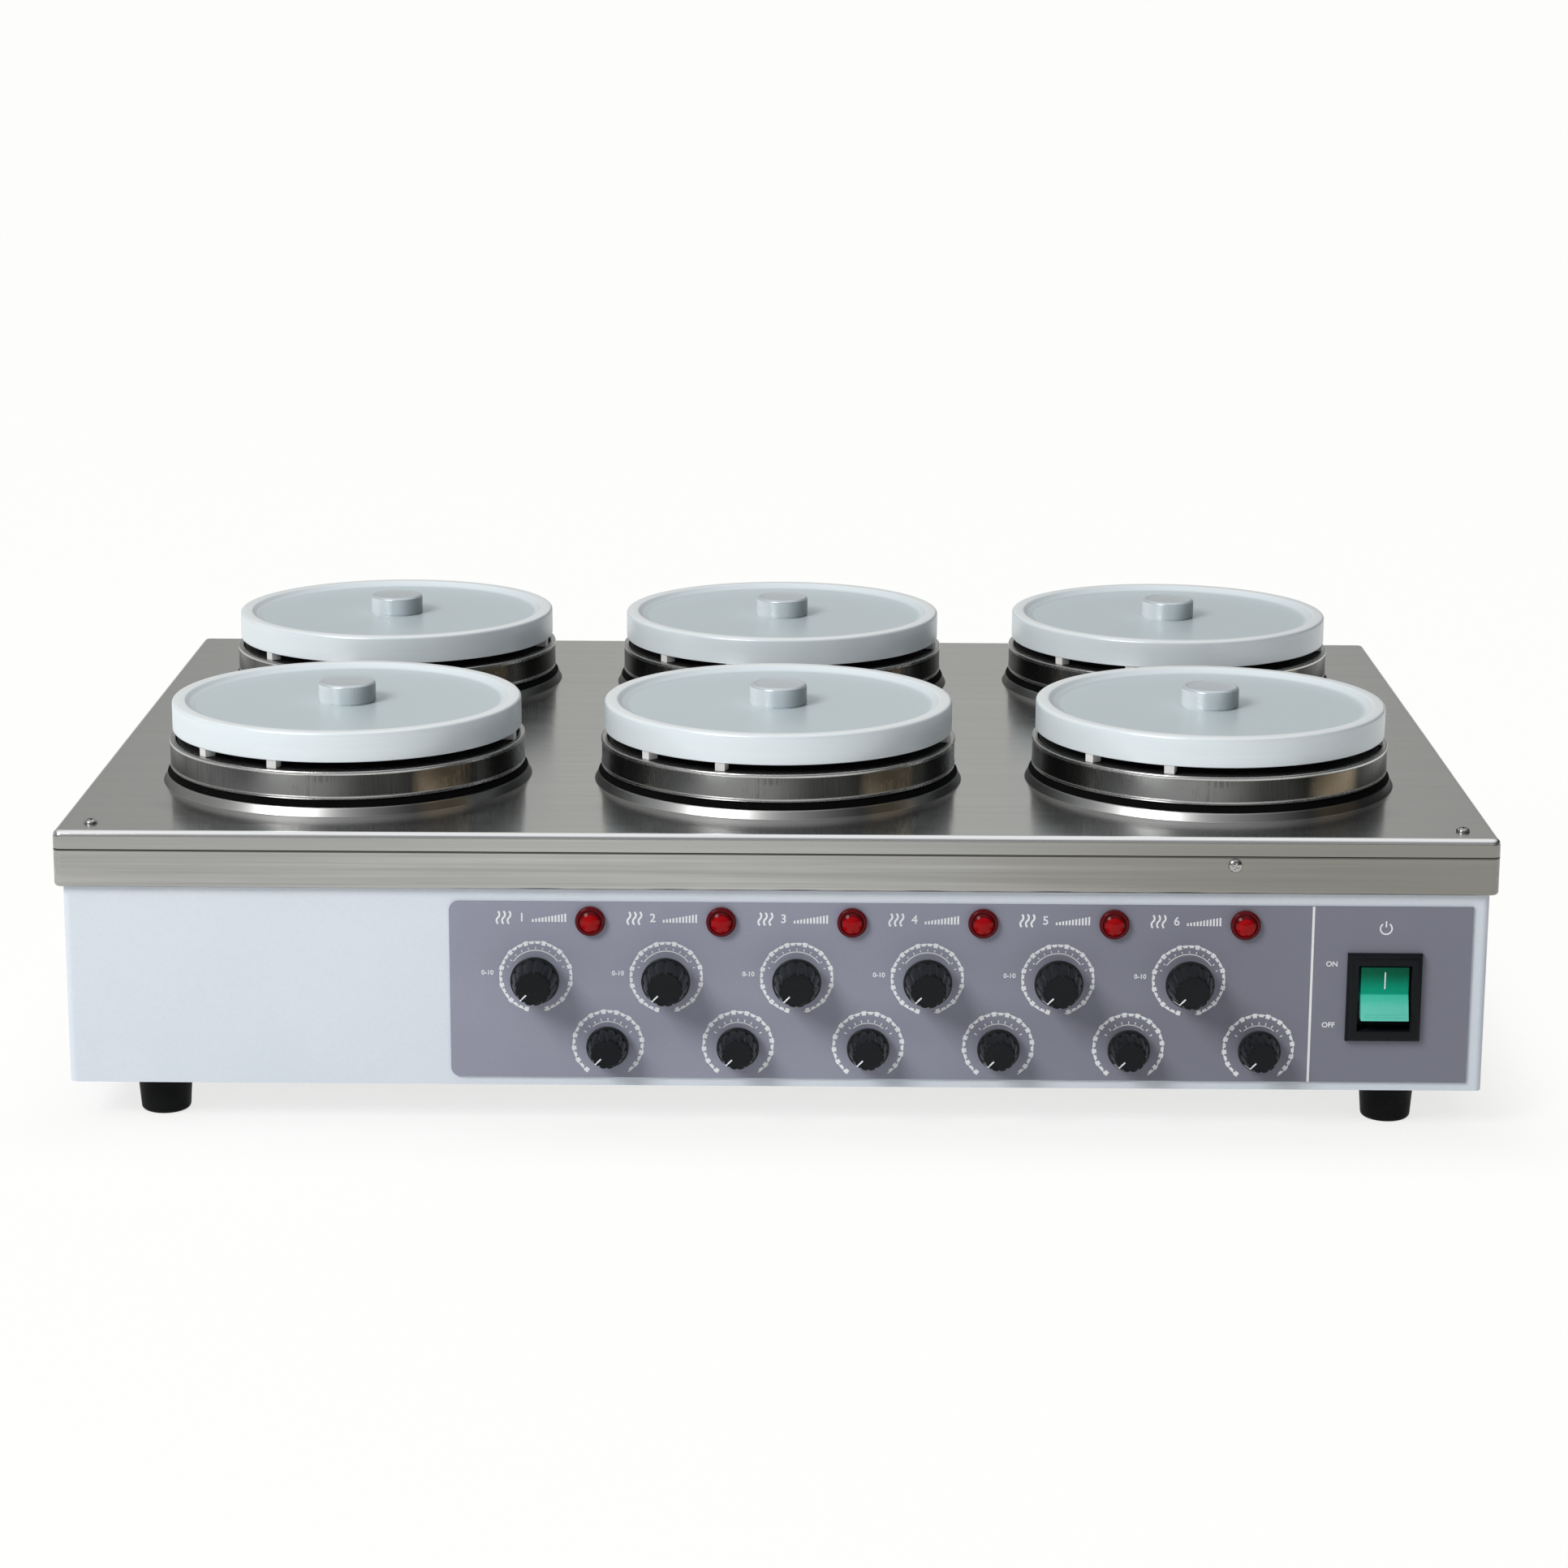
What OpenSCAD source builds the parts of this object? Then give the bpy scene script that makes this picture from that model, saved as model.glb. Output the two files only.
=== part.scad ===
// Six-place hotplate stirrer: a painted housing on rubber feet carries a stainless deck with six
// heated and stirred stations, each under a lift-off lid, and a front panel with the controls.

/* [Deck] */
// Width of the deck, side to side
deck_w = 600; // [594:2:680]
// Depth of the deck, front to rear
deck_d = 410; // [402:2:470]
// Thickness of the deck sheet
deck_t = 1.5; // [1:0.1:2]
// Depth of the folded edge, down to the seam
deck_return = 7.7; // [6:0.1:10]
// Outer radius of the bend along the deck's edge
deck_bend_r = 2.5; // [2.2:0.1:3]
// Radius of the deck's upright corners
deck_corner_r = 3.5; // [3.2:0.1:6]
// How far the deck stands out past the housing
deck_overhang = 3.1; // [2.5:0.1:6]
// Seam between the folded edge and the skirt band
seam_gap = 0.3; // [0.1:0.1:1]
// Height of the skirt band under the seam
skirt_h = 16.1; // [12:0.1:20]
// Height of the hem folded inside the skirt's lower edge
hem_h = 8; // [5:0.5:11]
// Gap between the skirt's hem and the housing
hem_gap = 0.1; // [0.05:0.05:0.5]

/* [Housing] */
// Height from the housing's lower edge to the deck's top
case_h = 109.6; // [108:0.1:130]
// Thickness of the housing sheet
wall_t = 1.2; // [0.8:0.1:2]
// Radius of the housing's upright corners
housing_corner_r = 3; // [2.2:0.1:6]
// Width of the flange that the deck is screwed to
flange_w = 18; // [16:0.5:20]
// Side of the gussets in the lower corners
gusset_w = 62; // [56:1:80]
// Side of the triangle cut off each gusset
gusset_cut = 24; // [10:1:26]
// Thickness of the base plate
base_t = 1.5; // [1:0.1:2.5]
// Gap between the base plate and the housing walls
base_gap = 0.3; // [0.2:0.1:1]
// Length of the cooling slots in the base plate
vent_l = 36; // [20:1:44]
// Width of the cooling slots
vent_w = 3; // [2:0.5:4]
// Spacing of the cooling slots
vent_pitch = 8; // [6:0.5:9]
// Number of cooling slots under each motor
vent_count = 5; // [3:1:5]
// Number of cooling slots in each group on the rear wall
rear_vent_count = 9; // [4:1:11]
// Distance between the two groups on the rear wall
rear_vent_spread = 220; // [140:5:240]
// Height of the rear slots' middle above the housing's lower edge
rear_vent_z = 40; // [35:1:55]

/* [Feet] */
// Height of the rubber feet
foot_h = 17.5; // [14:0.5:25]
// Diameter of a foot where it meets the base
foot_top_d = 23.5; // [21:0.5:28]
// Diameter of a foot near the table
foot_bottom_d = 21; // [19:0.5:23]
// Radius of the foot's lower edge
foot_edge_r = 2; // [1:0.25:3]
// Distance from the housing's sides to the foot centres
foot_side_inset = 37; // [30:1:45]
// Distance from the housing's front and rear to the foot centres
foot_end_inset = 20; // [16:1:40]
// Depth of the screw recess in a foot
foot_recess = 9; // [6:0.5:11]
// Diameter of the screw recess in a foot
foot_recess_d = 10; // [9.5:0.5:12]
// Diameter of the foot screws
foot_screw_d = 4; // [3:0.5:5]
// Diameter of the foot screws' heads
foot_head_d = 8; // [7:0.25:9]
// Height of the foot screws' heads
foot_head_h = 2.6; // [2:0.1:3.5]

/* [Stations] */
// Distance between the columns of stations
column_pitch = 189; // [176:1:195]
// Distance between the front and the rear row
row_pitch = 206; // [176:1:210]
// How far both rows sit behind the deck's middle
row_shift = 4; // [0:0.5:8]
// Outer diameter of the pressed collars
collar_d = 158; // [157.5:0.5:166]
// Height of the collars above the deck
collar_h = 4.6; // [3.8:0.1:8]
// Radius of the collars' rounded nose
collar_nose_r = 2.2; // [1.6:0.1:2.4]
// Radius where a collar rises out of the deck
collar_root_r = 1.2; // [0.6:0.1:1.5]
// Diameter of the holes in the collars
deck_hole_d = 136; // [130:0.5:138]
// Height of the seal between collar and trim ring
seal_h = 2; // [1.6:0.1:5]
// Outer diameter of the seal
seal_d = 152.6; // [151:0.2:154]
// Inner diameter of the seal
seal_hole_d = 140; // [139:0.5:144]
// Radius of the seal's edges
seal_edge_r = 0.6; // [0.3:0.1:0.9]
// Outer diameter of the trim ring
ring_d = 155.2; // [154.6:0.2:157]
// Height of the trim ring
ring_h = 12.4; // [8:0.1:16]
// Radial thickness of the trim ring
ring_t = 2.8; // [2.4:0.1:3.4]
// Radius of the trim ring's edges
ring_edge_r = 1.1; // [0.5:0.1:1.2]
// Gap between the hotplate and its trim ring
plate_gap = 0.3; // [0.1:0.1:0.6]
// Radius of the hotplate's upper edge
plate_edge_r = 0.8; // [0.4:0.1:1.5]
// Gap between the hotplate's neck and the collar's hole
neck_gap = 2; // [1:0.5:3]
// Wall of the hotplate's neck
neck_wall = 6; // [4:0.5:8]
// How far the neck reaches below the deck's top
neck_drop = 4; // [3:0.5:6]
// Thickness of the heating element
heater_t = 5; // [3:0.5:6]
// Diameter of the heating element's middle hole
heater_hole_d = 36; // [20:1:50]
// Gap round the heating element and the insulation disc
heater_gap = 0.5; // [0.3:0.1:1.5]

/* [Lids] */
// Outer diameter of a lid
lid_d = 152.2; // [151:0.2:156]
// Height of a lid's side
lid_h = 12.85; // [10:0.05:18]
// Width of the flat rim on top
rim_w = 5.5; // [4:0.1:7]
// Width of the cove inside the rim
cove_w = 4.5; // [3.5:0.1:6]
// Depth of the dished middle below the rim
dish_depth = 2.5; // [1.5:0.1:3]
// Radius of the lid's upper edge
lid_edge_r = 1.4; // [0.5:0.1:2]
// Depth of the relief under the lid
relief_depth = 2.5; // [1:0.1:3.5]
// Width of the seat left round the relief
relief_rim = 13; // [11:0.5:16]
// Height of the pads that a lid stands on
pad_h = 3.5; // [2:0.1:3.8]
// Width of a pad along the rim
pad_w = 4.3; // [3:0.1:6]
// Length of a pad towards the middle
pad_l = 5; // [4:0.5:7]
// How far the pads stand back from the lid's side
pad_inset = 0.6; // [0.2:0.1:2]
// Where the pads stand on one half of the rim, in degrees from the front
pad_angles = [-18.5, -48, -100];
// Gap between the pads and the hotplate
seat_gap = 0.1; // [0.05:0.05:0.3]
// Diameter of the lid's knob
lid_knob_d = 25; // [18:0.5:32]
// Height of the lid's knob
lid_knob_h = 9; // [7:0.5:16]
// Chamfer on the lid's knob
lid_knob_chamfer = 0.9; // [0.4:0.1:2]

/* [Stirrers] */
// Diameter of the drive magnets
magnet_d = 14; // [10:0.5:16]
// Height of the drive magnets
magnet_h = 6; // [4:0.5:8]
// Distance between the two drive magnets
magnet_pitch = 42; // [34:1:56]
// Running gap between the insulation and the magnets
magnet_gap = 3; // [2:0.5:5]
// Glue line under the magnets
glue_gap = 0.1; // [0.05:0.05:0.2]
// Width of the carrier bar
carrier_w = 18; // [17:0.5:22]
// Thickness of the carrier bar
carrier_t = 6; // [4:0.5:8]
// Diameter of the carrier's hub
hub_d = 13; // [10:0.5:17]
// Height of the carrier's hub
hub_h = 8; // [6:0.5:10]
// Diameter of the motor shaft
shaft_d = 5; // [4:0.5:6]
// Length of the motor shaft inside the motor
shaft_in_motor = 18; // [12:1:24]
// Running gap between the hub and the motor's boss
hub_gap = 2; // [1:0.5:4]
// Diameter of the motor
motor_d = 36; // [28:1:40]
// Length of the motor
motor_h = 40; // [32:1:48]
// Diameter of the motor's boss
boss_d = 12; // [10:0.5:16]
// Height of the motor's boss
boss_h = 4; // [3:0.5:6]
// Thickness of the motor bracket's strip
bracket_t = 2; // [1.5:0.5:3]
// Inner span of the motor bracket
bracket_span = 52; // [46:1:60]
// Width of the motor bracket's strip
bracket_w = 44; // [30:1:50]
// Length of the motor bracket's feet
bracket_foot = 13; // [8:1:16]

/* [Control panel] */
// Width of the control panel
panel_w = 426; // [420:1:440]
// Height of the control panel
panel_h = 76.2; // [74:0.2:78]
// Thickness of the control panel
panel_t = 1; // [0.5:0.1:2]
// Distance from the panel to the housing's right side
panel_side = 6.9; // [3:0.1:12]
// Distance from the panel to the housing's lower edge
panel_rise = 3.8; // [2:0.1:6]
// Radius of the panel's left corners
panel_corner_r = 4; // [2:0.5:8]
// Distance between the control columns
control_pitch = 54.5; // [53:0.5:55]
// Heat knobs: first one, from the panel's left edge
heat_x = 36; // [33:0.5:38]
// Heat knobs: height above the panel's lower edge
heat_z = 43.9; // [42:0.1:46]
// Speed knobs: first one, from the panel's left edge
speed_x = 66; // [64:0.5:70]
// Speed knobs: height above the panel's lower edge
speed_z = 14.5; // [14:0.1:15.5]
// Pilot lamps: first one, from the panel's left edge
lamp_x = 58.9; // [57:0.1:62]
// Pilot lamps: height above the panel's lower edge
lamp_z = 68.2; // [66:0.1:68.6]
// Diameter of the pilot lamps' lens
lamp_d = 12.5; // [11:0.1:14]
// Straight height of the lens in front of the panel
lamp_side_h = 1.8; // [1:0.1:3]
// Height of the lens's dome
lamp_dome_h = 2.4; // [1.5:0.1:3]
// Diameter of the lamps' stem behind the panel
lamp_stem_d = 9; // [7:0.5:10]
// Length of the lamps' stem behind the panel
lamp_stem_l = 20; // [12:1:28]

/* [Knobs] */
// Diameter of a heat knob's skirt
heat_knob_d = 20.4; // [19:0.2:22]
// Diameter of a heat knob's front
heat_face_d = 14.8; // [14:0.2:17]
// Length of a heat knob
heat_knob_l = 18; // [15:0.5:20]
// Length of the narrow stub behind a heat knob's skirt
heat_stub_l = 5.5; // [3:0.5:6.5]
// Diameter of a speed knob's skirt
speed_knob_d = 17.8; // [16:0.2:19]
// Diameter of a speed knob's front
speed_face_d = 13.2; // [12:0.2:14.6]
// Length of a speed knob
speed_knob_l = 13.5; // [12:0.5:17]
// Length of the narrow stub behind a speed knob's skirt
speed_stub_l = 3; // [2:0.5:5]
// How far a knob's skirt stands out past its stub
stub_step = 2.6; // [1.5:0.1:3]
// Height of the plain skirt round a knob
knob_skirt_h = 1.6; // [1:0.1:2.5]
// Number of flutes round a knob
flute_count = 12; // [8:1:16]
// Radius of a flute
flute_r = 1.3; // [0.8:0.1:1.6]
// Depth of a flute
flute_depth = 0.55; // [0.3:0.05:0.8]
// Gap between a knob and the panel
knob_gap = 0.5; // [0.3:0.1:1]
// Diameter of the spindles
spindle_d = 6; // [4:0.5:6.5]
// Depth of a spindle in its knob
spindle_in_knob = 8; // [6:0.5:8.5]
// Depth of a spindle behind the panel
spindle_in_body = 16; // [10:0.5:18]
// Radial clearance of turning fits
running_fit = 0.05; // [0.02:0.01:0.1]
// Gap at the blind end of a bore
end_gap = 0.3; // [0.2:0.1:0.5]
// Diameter of the bushes that guide the spindles
bush_d = 9.6; // [9:0.2:12]
// Clearance round the bushes and stems in the front wall
bush_gap = 0.2; // [0.1:0.1:0.5]
// Width of a heat regulator
regulator_w = 30; // [26:1:32]
// Height of a heat regulator
regulator_h = 31; // [26:1:32]
// Depth of a heat regulator
regulator_l = 22; // [20:1:30]
// Radius of a heat regulator's corners
regulator_corner_r = 2; // [1:0.5:4]
// Diameter of a speed potentiometer
pot_d = 24; // [20:1:26]
// Depth of a speed potentiometer
pot_l = 18; // [18:1:24]

/* [Switch] */
// Width of the switch bezel
bezel_w = 31.2; // [30:0.2:34]
// Height of the switch bezel
bezel_h = 37.9; // [36:0.1:42]
// Thickness of the switch bezel
bezel_t = 3.6; // [3:0.1:5]
// Height of the bezel's upright edge, below its bevel
bezel_edge = 1.2; // [0.6:0.1:2]
// Width of the bezel's bevel
bezel_bevel = 2.6; // [1.5:0.1:3]
// Switch centre, from the panel's right edge
switch_x = 36; // [30:0.5:40]
// Switch centre, above the panel's lower edge
switch_z = 37.4; // [30:0.2:45]
// Depth of the switch body behind the panel
switch_l = 22; // [16:1:30]
// Wall between the switch body and the bezel's edge
switch_step = 2; // [1.5:0.1:3]
// Width of the rocker
rocker_w = 20; // [16:0.5:21]
// Length of the rocker's two faces together
rocker_h = 23; // [20:0.2:23.6]
// Thickness of the rocker's ends
rocker_t = 4.5; // [3:0.1:5]
// Gap at the rocker's sides
rocker_side_gap = 1; // [0.5:0.1:1.5]
// Gap at the rocker's upper end when it is pressed
rocker_end_gap = 0.5; // [0.3:0.1:1]
// Gap at the rocker's lower end when it is pressed
rocker_foot_gap = 3.3; // [0.5:0.1:3.6]
// Angle between the rocker's two positions
rocker_swing = 20; // [14:1:24]
// Height of the rocker's faces over its pivot
rocker_rise = 4; // [3.5:0.1:5]
// Depth of the rocker's middle below the bezel's front
rocker_sink = 0.8; // [0:0.1:2]
// Diameter of the rocker's pivot pins
pivot_d = 3; // [2:0.1:3.4]
// Depth of the pivot pins in the bezel
pivot_depth = 2; // [1:0.1:2.2]

/* [Mains inlet] */
// Width of the inlet's flange
inlet_w = 50; // [50:0.5:56]
// Height of the inlet's flange
inlet_h = 27; // [25:0.5:32]
// Thickness of the inlet's flange
inlet_t = 2.6; // [2:0.1:3]
// Radius of the flange's corners
inlet_corner_r = 3; // [1:0.5:5]
// Distance between the inlet's screws
inlet_screw_pitch = 40; // [38:0.5:42]
// Width of the inlet's socket
socket_w = 24; // [22:0.5:25]
// Height of the inlet's socket
socket_h = 16.4; // [15:0.2:18]
// Depth of the inlet's socket
socket_l = 17; // [16:0.5:19]
// Chamfer of the socket's upper corners
socket_chamfer = 4.5; // [3:0.5:6]
// Wall of the inlet's body
inlet_wall = 1.8; // [1.5:0.1:2.5]
// Clearance of the inlet's body in the rear wall
inlet_gap = 0.3; // [0.2:0.1:0.6]
// Length of the contact pins
pin_l = 11; // [9:0.5:12]
// Width of the contact pins
pin_w = 2; // [1.5:0.1:2.5]
// Height of the contact pins
pin_h = 4; // [3:0.1:5]
// Distance between the outer contact pins
pin_pitch = 14; // [12:0.5:15]
// How far the middle pin sits above the outer two
pin_step = 4; // [3:0.5:5]
// Inlet centre, from the housing's right side
inlet_x = 62; // [40:1:90]
// Inlet centre, above the housing's lower edge
inlet_z = 40; // [30:1:60]

/* [Screws] */
// Diameter of the pan-head screws
screw_d = 3; // [2.5:0.1:3.5]
// Diameter of their heads
screw_head_d = 5.7; // [5:0.1:6.5]
// Height of their heads
screw_head_h = 1.9; // [1.5:0.1:2.5]
// Height of the crown on their heads
screw_crown_h = 0.9; // [0.5:0.1:1.2]
// Length of their shanks
screw_l = 9; // [6:0.5:12]
// Clearance round the screws
screw_gap = 0.15; // [0.1:0.05:0.4]
// Distance from the deck's edges to its front corner screws
deck_screw_inset = 14; // [12:0.5:16]
// Front lip screw, from the housing's right side
lip_screw_x = 106.7; // [60:0.1:200]
// Lip screws, below the deck's top
lip_screw_drop = 11.7; // [11:0.1:13]
// Distance between the two screws on the rear lip
rear_screw_pitch = 400; // [300:5:500]

/* [Control board] */
// Width of the board
board_w = 220; // [160:2:240]
// Depth of the board
board_d = 70; // [56:1:80]
// Thickness of the board
board_t = 1.6; // [1:0.1:2]
// Height of the board's pillars
pillar_h = 8; // [5:0.5:12]
// Diameter of the board's pillars
pillar_d = 7; // [5:0.5:9]
// Distance from the board's edges to its pillars
pillar_inset = 6; // [5:0.5:10]
// Width of the transformer
transformer_w = 44; // [36:1:54]
// Depth of the transformer
transformer_d = 42; // [34:1:48]
// Height of the transformer
transformer_h = 30; // [24:1:40]
// Distance from the board's left edge to the transformer
transformer_x = 20; // [14:1:30]
// Width of a relay
relay_w = 13; // [10:0.5:16]
// Depth of a relay
relay_d = 22; // [18:0.5:28]
// Height of a relay
relay_h = 16; // [12:0.5:20]
// Distance between the relays
relay_pitch = 18; // [17:0.5:20]
// Distance from the board's right edge to the last relay's middle
relay_x = 24; // [16:1:26]

/* [Hidden] */
$fn = 96;
columns = 3;
rows = 2;
stations = columns * rows;
slack = 1;

stainless = [0.70, 0.70, 0.68];
bright_steel = [0.55, 0.54, 0.52];
paint = [0.86, 0.88, 0.91];
aluminium = [0.75, 0.78, 0.80];
black = [0.11, 0.11, 0.12];
rubber = [0.08, 0.08, 0.08];
panel_grey = [0.50, 0.50, 0.54];
white_ceramic = [0.93, 0.93, 0.90];

housing_w = deck_w - 2 * deck_overhang;
housing_d = deck_d - 2 * deck_overhang;
deck_top = foot_h + case_h;
shell_h = case_h - deck_t;
skirt_t = (deck_overhang - hem_gap) / 2;
hem_r = skirt_t;
skirt_low = -deck_return - seam_gap - skirt_h;
gusset_top = foot_h + base_t + wall_t;
foot_x = housing_w / 2 - foot_side_inset;
foot_y = housing_d / 2 - foot_end_inset;

ring_low = collar_h + seal_h;
ring_top = ring_low + ring_h;
plate_r = ring_d / 2 - ring_t - plate_gap;
neck_r = deck_hole_d / 2 - neck_gap;
heater_r = neck_r - neck_wall - heater_gap;
insulation_t = ring_low + neck_drop - heater_t;

lid_low = ring_top + seat_gap + pad_h;
dish_top = lid_low + lid_h - dish_depth;
cove_r = (cove_w * cove_w + dish_depth * dish_depth) / (2 * dish_depth);
dish_r = lid_d / 2 - rim_w - cove_w;
all_pad_angles = [for (half = [0, 180]) for (a = pad_angles) half + a];

magnet_low = -neck_drop - magnet_gap - magnet_h;
carrier_low = magnet_low - glue_gap - carrier_t;
hub_low = carrier_low - hub_h;
boss_top = hub_low - hub_gap;
motor_top = boss_top - boss_h;
bracket_top = motor_top + bracket_t;
base_top = -case_h + base_t;

front_y = -housing_d / 2;
panel_front = front_y - panel_t;
panel_left = housing_w / 2 - panel_side - panel_w;
panel_low = foot_h + panel_rise;
inner_wall = -panel_t - wall_t;

rocker_tilt = rocker_swing / 2;
rocker_end_y = rocker_h / 2 * cos(rocker_tilt);
rocker_end_z = rocker_rise + rocker_h / 2 * sin(rocker_tilt);
rocker_end_r = norm([rocker_end_y, rocker_end_z]);
rocker_end_angle = atan2(rocker_end_z, rocker_end_y);
rocker_reach = rocker_end_r * cos(max(0, rocker_end_angle - rocker_tilt));
pivot_z = bezel_t - rocker_sink - rocker_rise;
rocker_hub = pivot_d / 2 + 1;
well_w = rocker_w + 2 * rocker_side_gap;
well_h = 2 * rocker_reach + rocker_end_gap + rocker_foot_gap;
rocker_y = (rocker_foot_gap - rocker_end_gap) / 2;
well_depth = rocker_hub * sqrt(2) - pivot_z + rocker_end_gap;
switch_w = bezel_w - 2 * switch_step;
switch_h = bezel_h - 2 * switch_step;

inlet_body_w = socket_w + 2 * inlet_wall;
inlet_body_h = socket_h + 2 * inlet_wall;
inlet_body_l = socket_l + inlet_wall - inlet_t;

longest_knob = max(heat_knob_l, speed_knob_l);
lip_reach = deck_d / 2 + screw_head_h;
front_reach = max(lip_reach, -panel_front + knob_gap + longest_knob);
rear_reach = max(lip_reach, housing_d / 2 + inlet_t + screw_head_h);
deck_y = (front_reach - rear_reach) / 2;

// Stations count from the front row's left end to the rear row's right end
function station_x(i) = ((i - 1) % columns - (columns - 1) / 2) * column_pitch;
function station_y(i) = row_shift + (floor((i - 1) / columns) - (rows - 1) / 2) * row_pitch;

// Moves what is modelled about the deck's middle so that the whole stands centred on the origin
module in_place() {
    translate([0, deck_y, 0])
        children();
}

// Puts a piece at a station, with z measured from the deck's top
module at_station(i) {
    translate([station_x(i), station_y(i), deck_top])
        children();
}

module at_all_stations() {
    for (i = [1:stations])
        at_station(i)
            children();
}

// Puts a piece on the panel, with z pointing out to the front and y pointing up
module on_panel(x, z) {
    translate([panel_left + x, panel_front, panel_low + z])
        rotate([90, 0, 0])
            children();
}

module at_all_controls(x, z) {
    for (i = [0:stations - 1])
        on_panel(x + i * control_pitch, z)
            children();
}

module on_switch() {
    on_panel(panel_w - switch_x, switch_z)
        children();
}

// Puts a piece on the rear wall, with z pointing out to the rear and y pointing up
module on_inlet() {
    translate([housing_w / 2 - inlet_x, housing_d / 2, foot_h + inlet_z])
        rotate([90, 0, 180])
            children();
}

module at_inlet_screws() {
    on_inlet()
        for (side = [-1, 1])
            translate([side * inlet_screw_pitch / 2, 0, inlet_t])
                children();
}

module at_deck_screws() {
    screw_x = deck_w / 2 - deck_screw_inset;
    screw_y = deck_d / 2 - deck_screw_inset;
    for (sx = [-1, 1])
        translate([sx * screw_x, -screw_y, deck_top])
            children();
}

module at_lip_screws() {
    screw_z = deck_top - lip_screw_drop;
    translate([housing_w / 2 - lip_screw_x, -deck_d / 2, screw_z])
        rotate([90, 0, 0])
            children();
    for (side = [-1, 1])
        translate([side * rear_screw_pitch / 2, deck_d / 2, screw_z])
            rotate([-90, 0, 0])
                children();
}

module at_feet() {
    for (sx = [-1, 1])
        for (sy = [-1, 1])
            translate([sx * foot_x, sy * foot_y, 0])
                children();
}

// A rectangle with round corners
module round_rect(w, d, r) {
    square([w - 2 * r, d], center = true);
    square([w, d - 2 * r], center = true);
    for (sx = [-1, 1])
        for (sy = [-1, 1])
            translate([sx * (w / 2 - r), sy * (d / 2 - r)])
                circle(r);
}

// Carries a profile round a rectangle with round corners; its x = r lies on the outer face
module sweep_round(w, d, r) {
    for (side = [0:3]) {
        across = side % 2 == 0 ? w : d;
        along = side % 2 == 0 ? d : w;
        rotate(90 * side)
            translate([across / 2 - r, along / 2 - r, 0]) {
                rotate([90, 0, 0])
                    linear_extrude(along - 2 * r)
                        children();
                rotate_extrude(angle = 90)
                    children();
            }
    }
}

// A hole along the z axis, cut through everything within reach
module drill(r, reach) {
    cylinder(h = 2 * reach, r = r, center = true);
}

// A spherical cap of diameter d and height h
module dome(d, h) {
    dome_r = (d * d / 4 + h * h) / (2 * h);
    intersection() {
        cylinder(h = h, d = d);
        translate([0, 0, h - dome_r])
            sphere(dome_r);
    }
}

// A pan-head screw with its seat at z = 0 and its shank below
module pan_screw() {
    side_h = screw_head_h - screw_crown_h;
    cylinder(h = side_h, d = screw_head_d);
    translate([0, 0, side_h])
        dome(screw_head_d, screw_crown_h);
    translate([0, 0, -screw_l])
        cylinder(h = screw_l, d = screw_d);
}

module screw_hole() {
    drill(screw_d / 2 + screw_gap, screw_l);
}

// The painted wrap: four walls, a flange under the deck and gussets in the lower corners
module housing_shell() {
    mid_w = housing_w - wall_t;
    mid_d = housing_d - wall_t;
    color(paint)
        difference() {
            union() {
                translate([0, 0, foot_h])
                    linear_extrude(shell_h)
                        difference() {
                            round_rect(housing_w, housing_d, housing_corner_r);
                            round_rect(mid_w - wall_t, mid_d - wall_t, housing_corner_r - wall_t);
                        }
                translate([0, 0, foot_h + shell_h - wall_t])
                    linear_extrude(wall_t)
                        difference() {
                            round_rect(mid_w, mid_d, housing_corner_r - wall_t / 2);
                            square([housing_w - 2 * flange_w, housing_d - 2 * flange_w], center = true);
                        }
                for (sx = [-1, 1])
                    for (sy = [-1, 1])
                        scale([sx, sy, 1])
                            gusset();
            }
            at_all_controls(heat_x, heat_z)
                drill(bush_d / 2 + bush_gap, slack - inner_wall);
            at_all_controls(speed_x, speed_z)
                drill(bush_d / 2 + bush_gap, slack - inner_wall);
            at_all_controls(lamp_x, lamp_z)
                drill(lamp_stem_d / 2 + bush_gap, slack - inner_wall);
            on_switch()
                switch_cutout();
            on_inlet()
                inlet_cutout();
            rear_vents();
            at_inlet_screws()
                screw_hole();
            at_deck_screws()
                screw_hole();
            at_lip_screws()
                screw_hole();
            at_feet()
                translate([0, 0, gusset_top])
                    drill(foot_screw_d / 2 + screw_gap, wall_t + slack);
        }
}

// Square hole for the switch body, through the panel and the wall
module switch_cutout() {
    cube([switch_w + 2 * bush_gap, switch_h + 2 * bush_gap, 2 * (slack - inner_wall)], center = true);
}

// Square hole for the inlet's body, through the rear wall
module inlet_cutout() {
    cube([inlet_body_w + 2 * inlet_gap, inlet_body_h + 2 * inlet_gap, 2 * (wall_t + slack)], center = true);
}

// Two groups of upright cooling slots through the rear wall
module rear_vents() {
    for (side = [-1, 1])
        for (k = [0:rear_vent_count - 1])
            translate([side * rear_vent_spread / 2 + (k - (rear_vent_count - 1) / 2) * vent_pitch,
                       housing_d / 2 + slack, foot_h + rear_vent_z])
                rotate([90, 0, 0])
                    linear_extrude(wall_t + 2 * slack)
                        rotate(90)
                            slot(vent_l, vent_w);
}

// One corner gusset, which the base plate and a foot are screwed to
module gusset() {
    corner_x = housing_w / 2 - wall_t / 2;
    corner_y = housing_d / 2 - wall_t / 2;
    translate([corner_x, corner_y, gusset_top - wall_t])
        linear_extrude(wall_t)
            polygon([[-housing_corner_r, 0], [-gusset_w, 0], [-gusset_w, gusset_cut - gusset_w],
                     [gusset_cut - gusset_w, -gusset_w], [0, -gusset_w], [0, -housing_corner_r]]);
}

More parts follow.
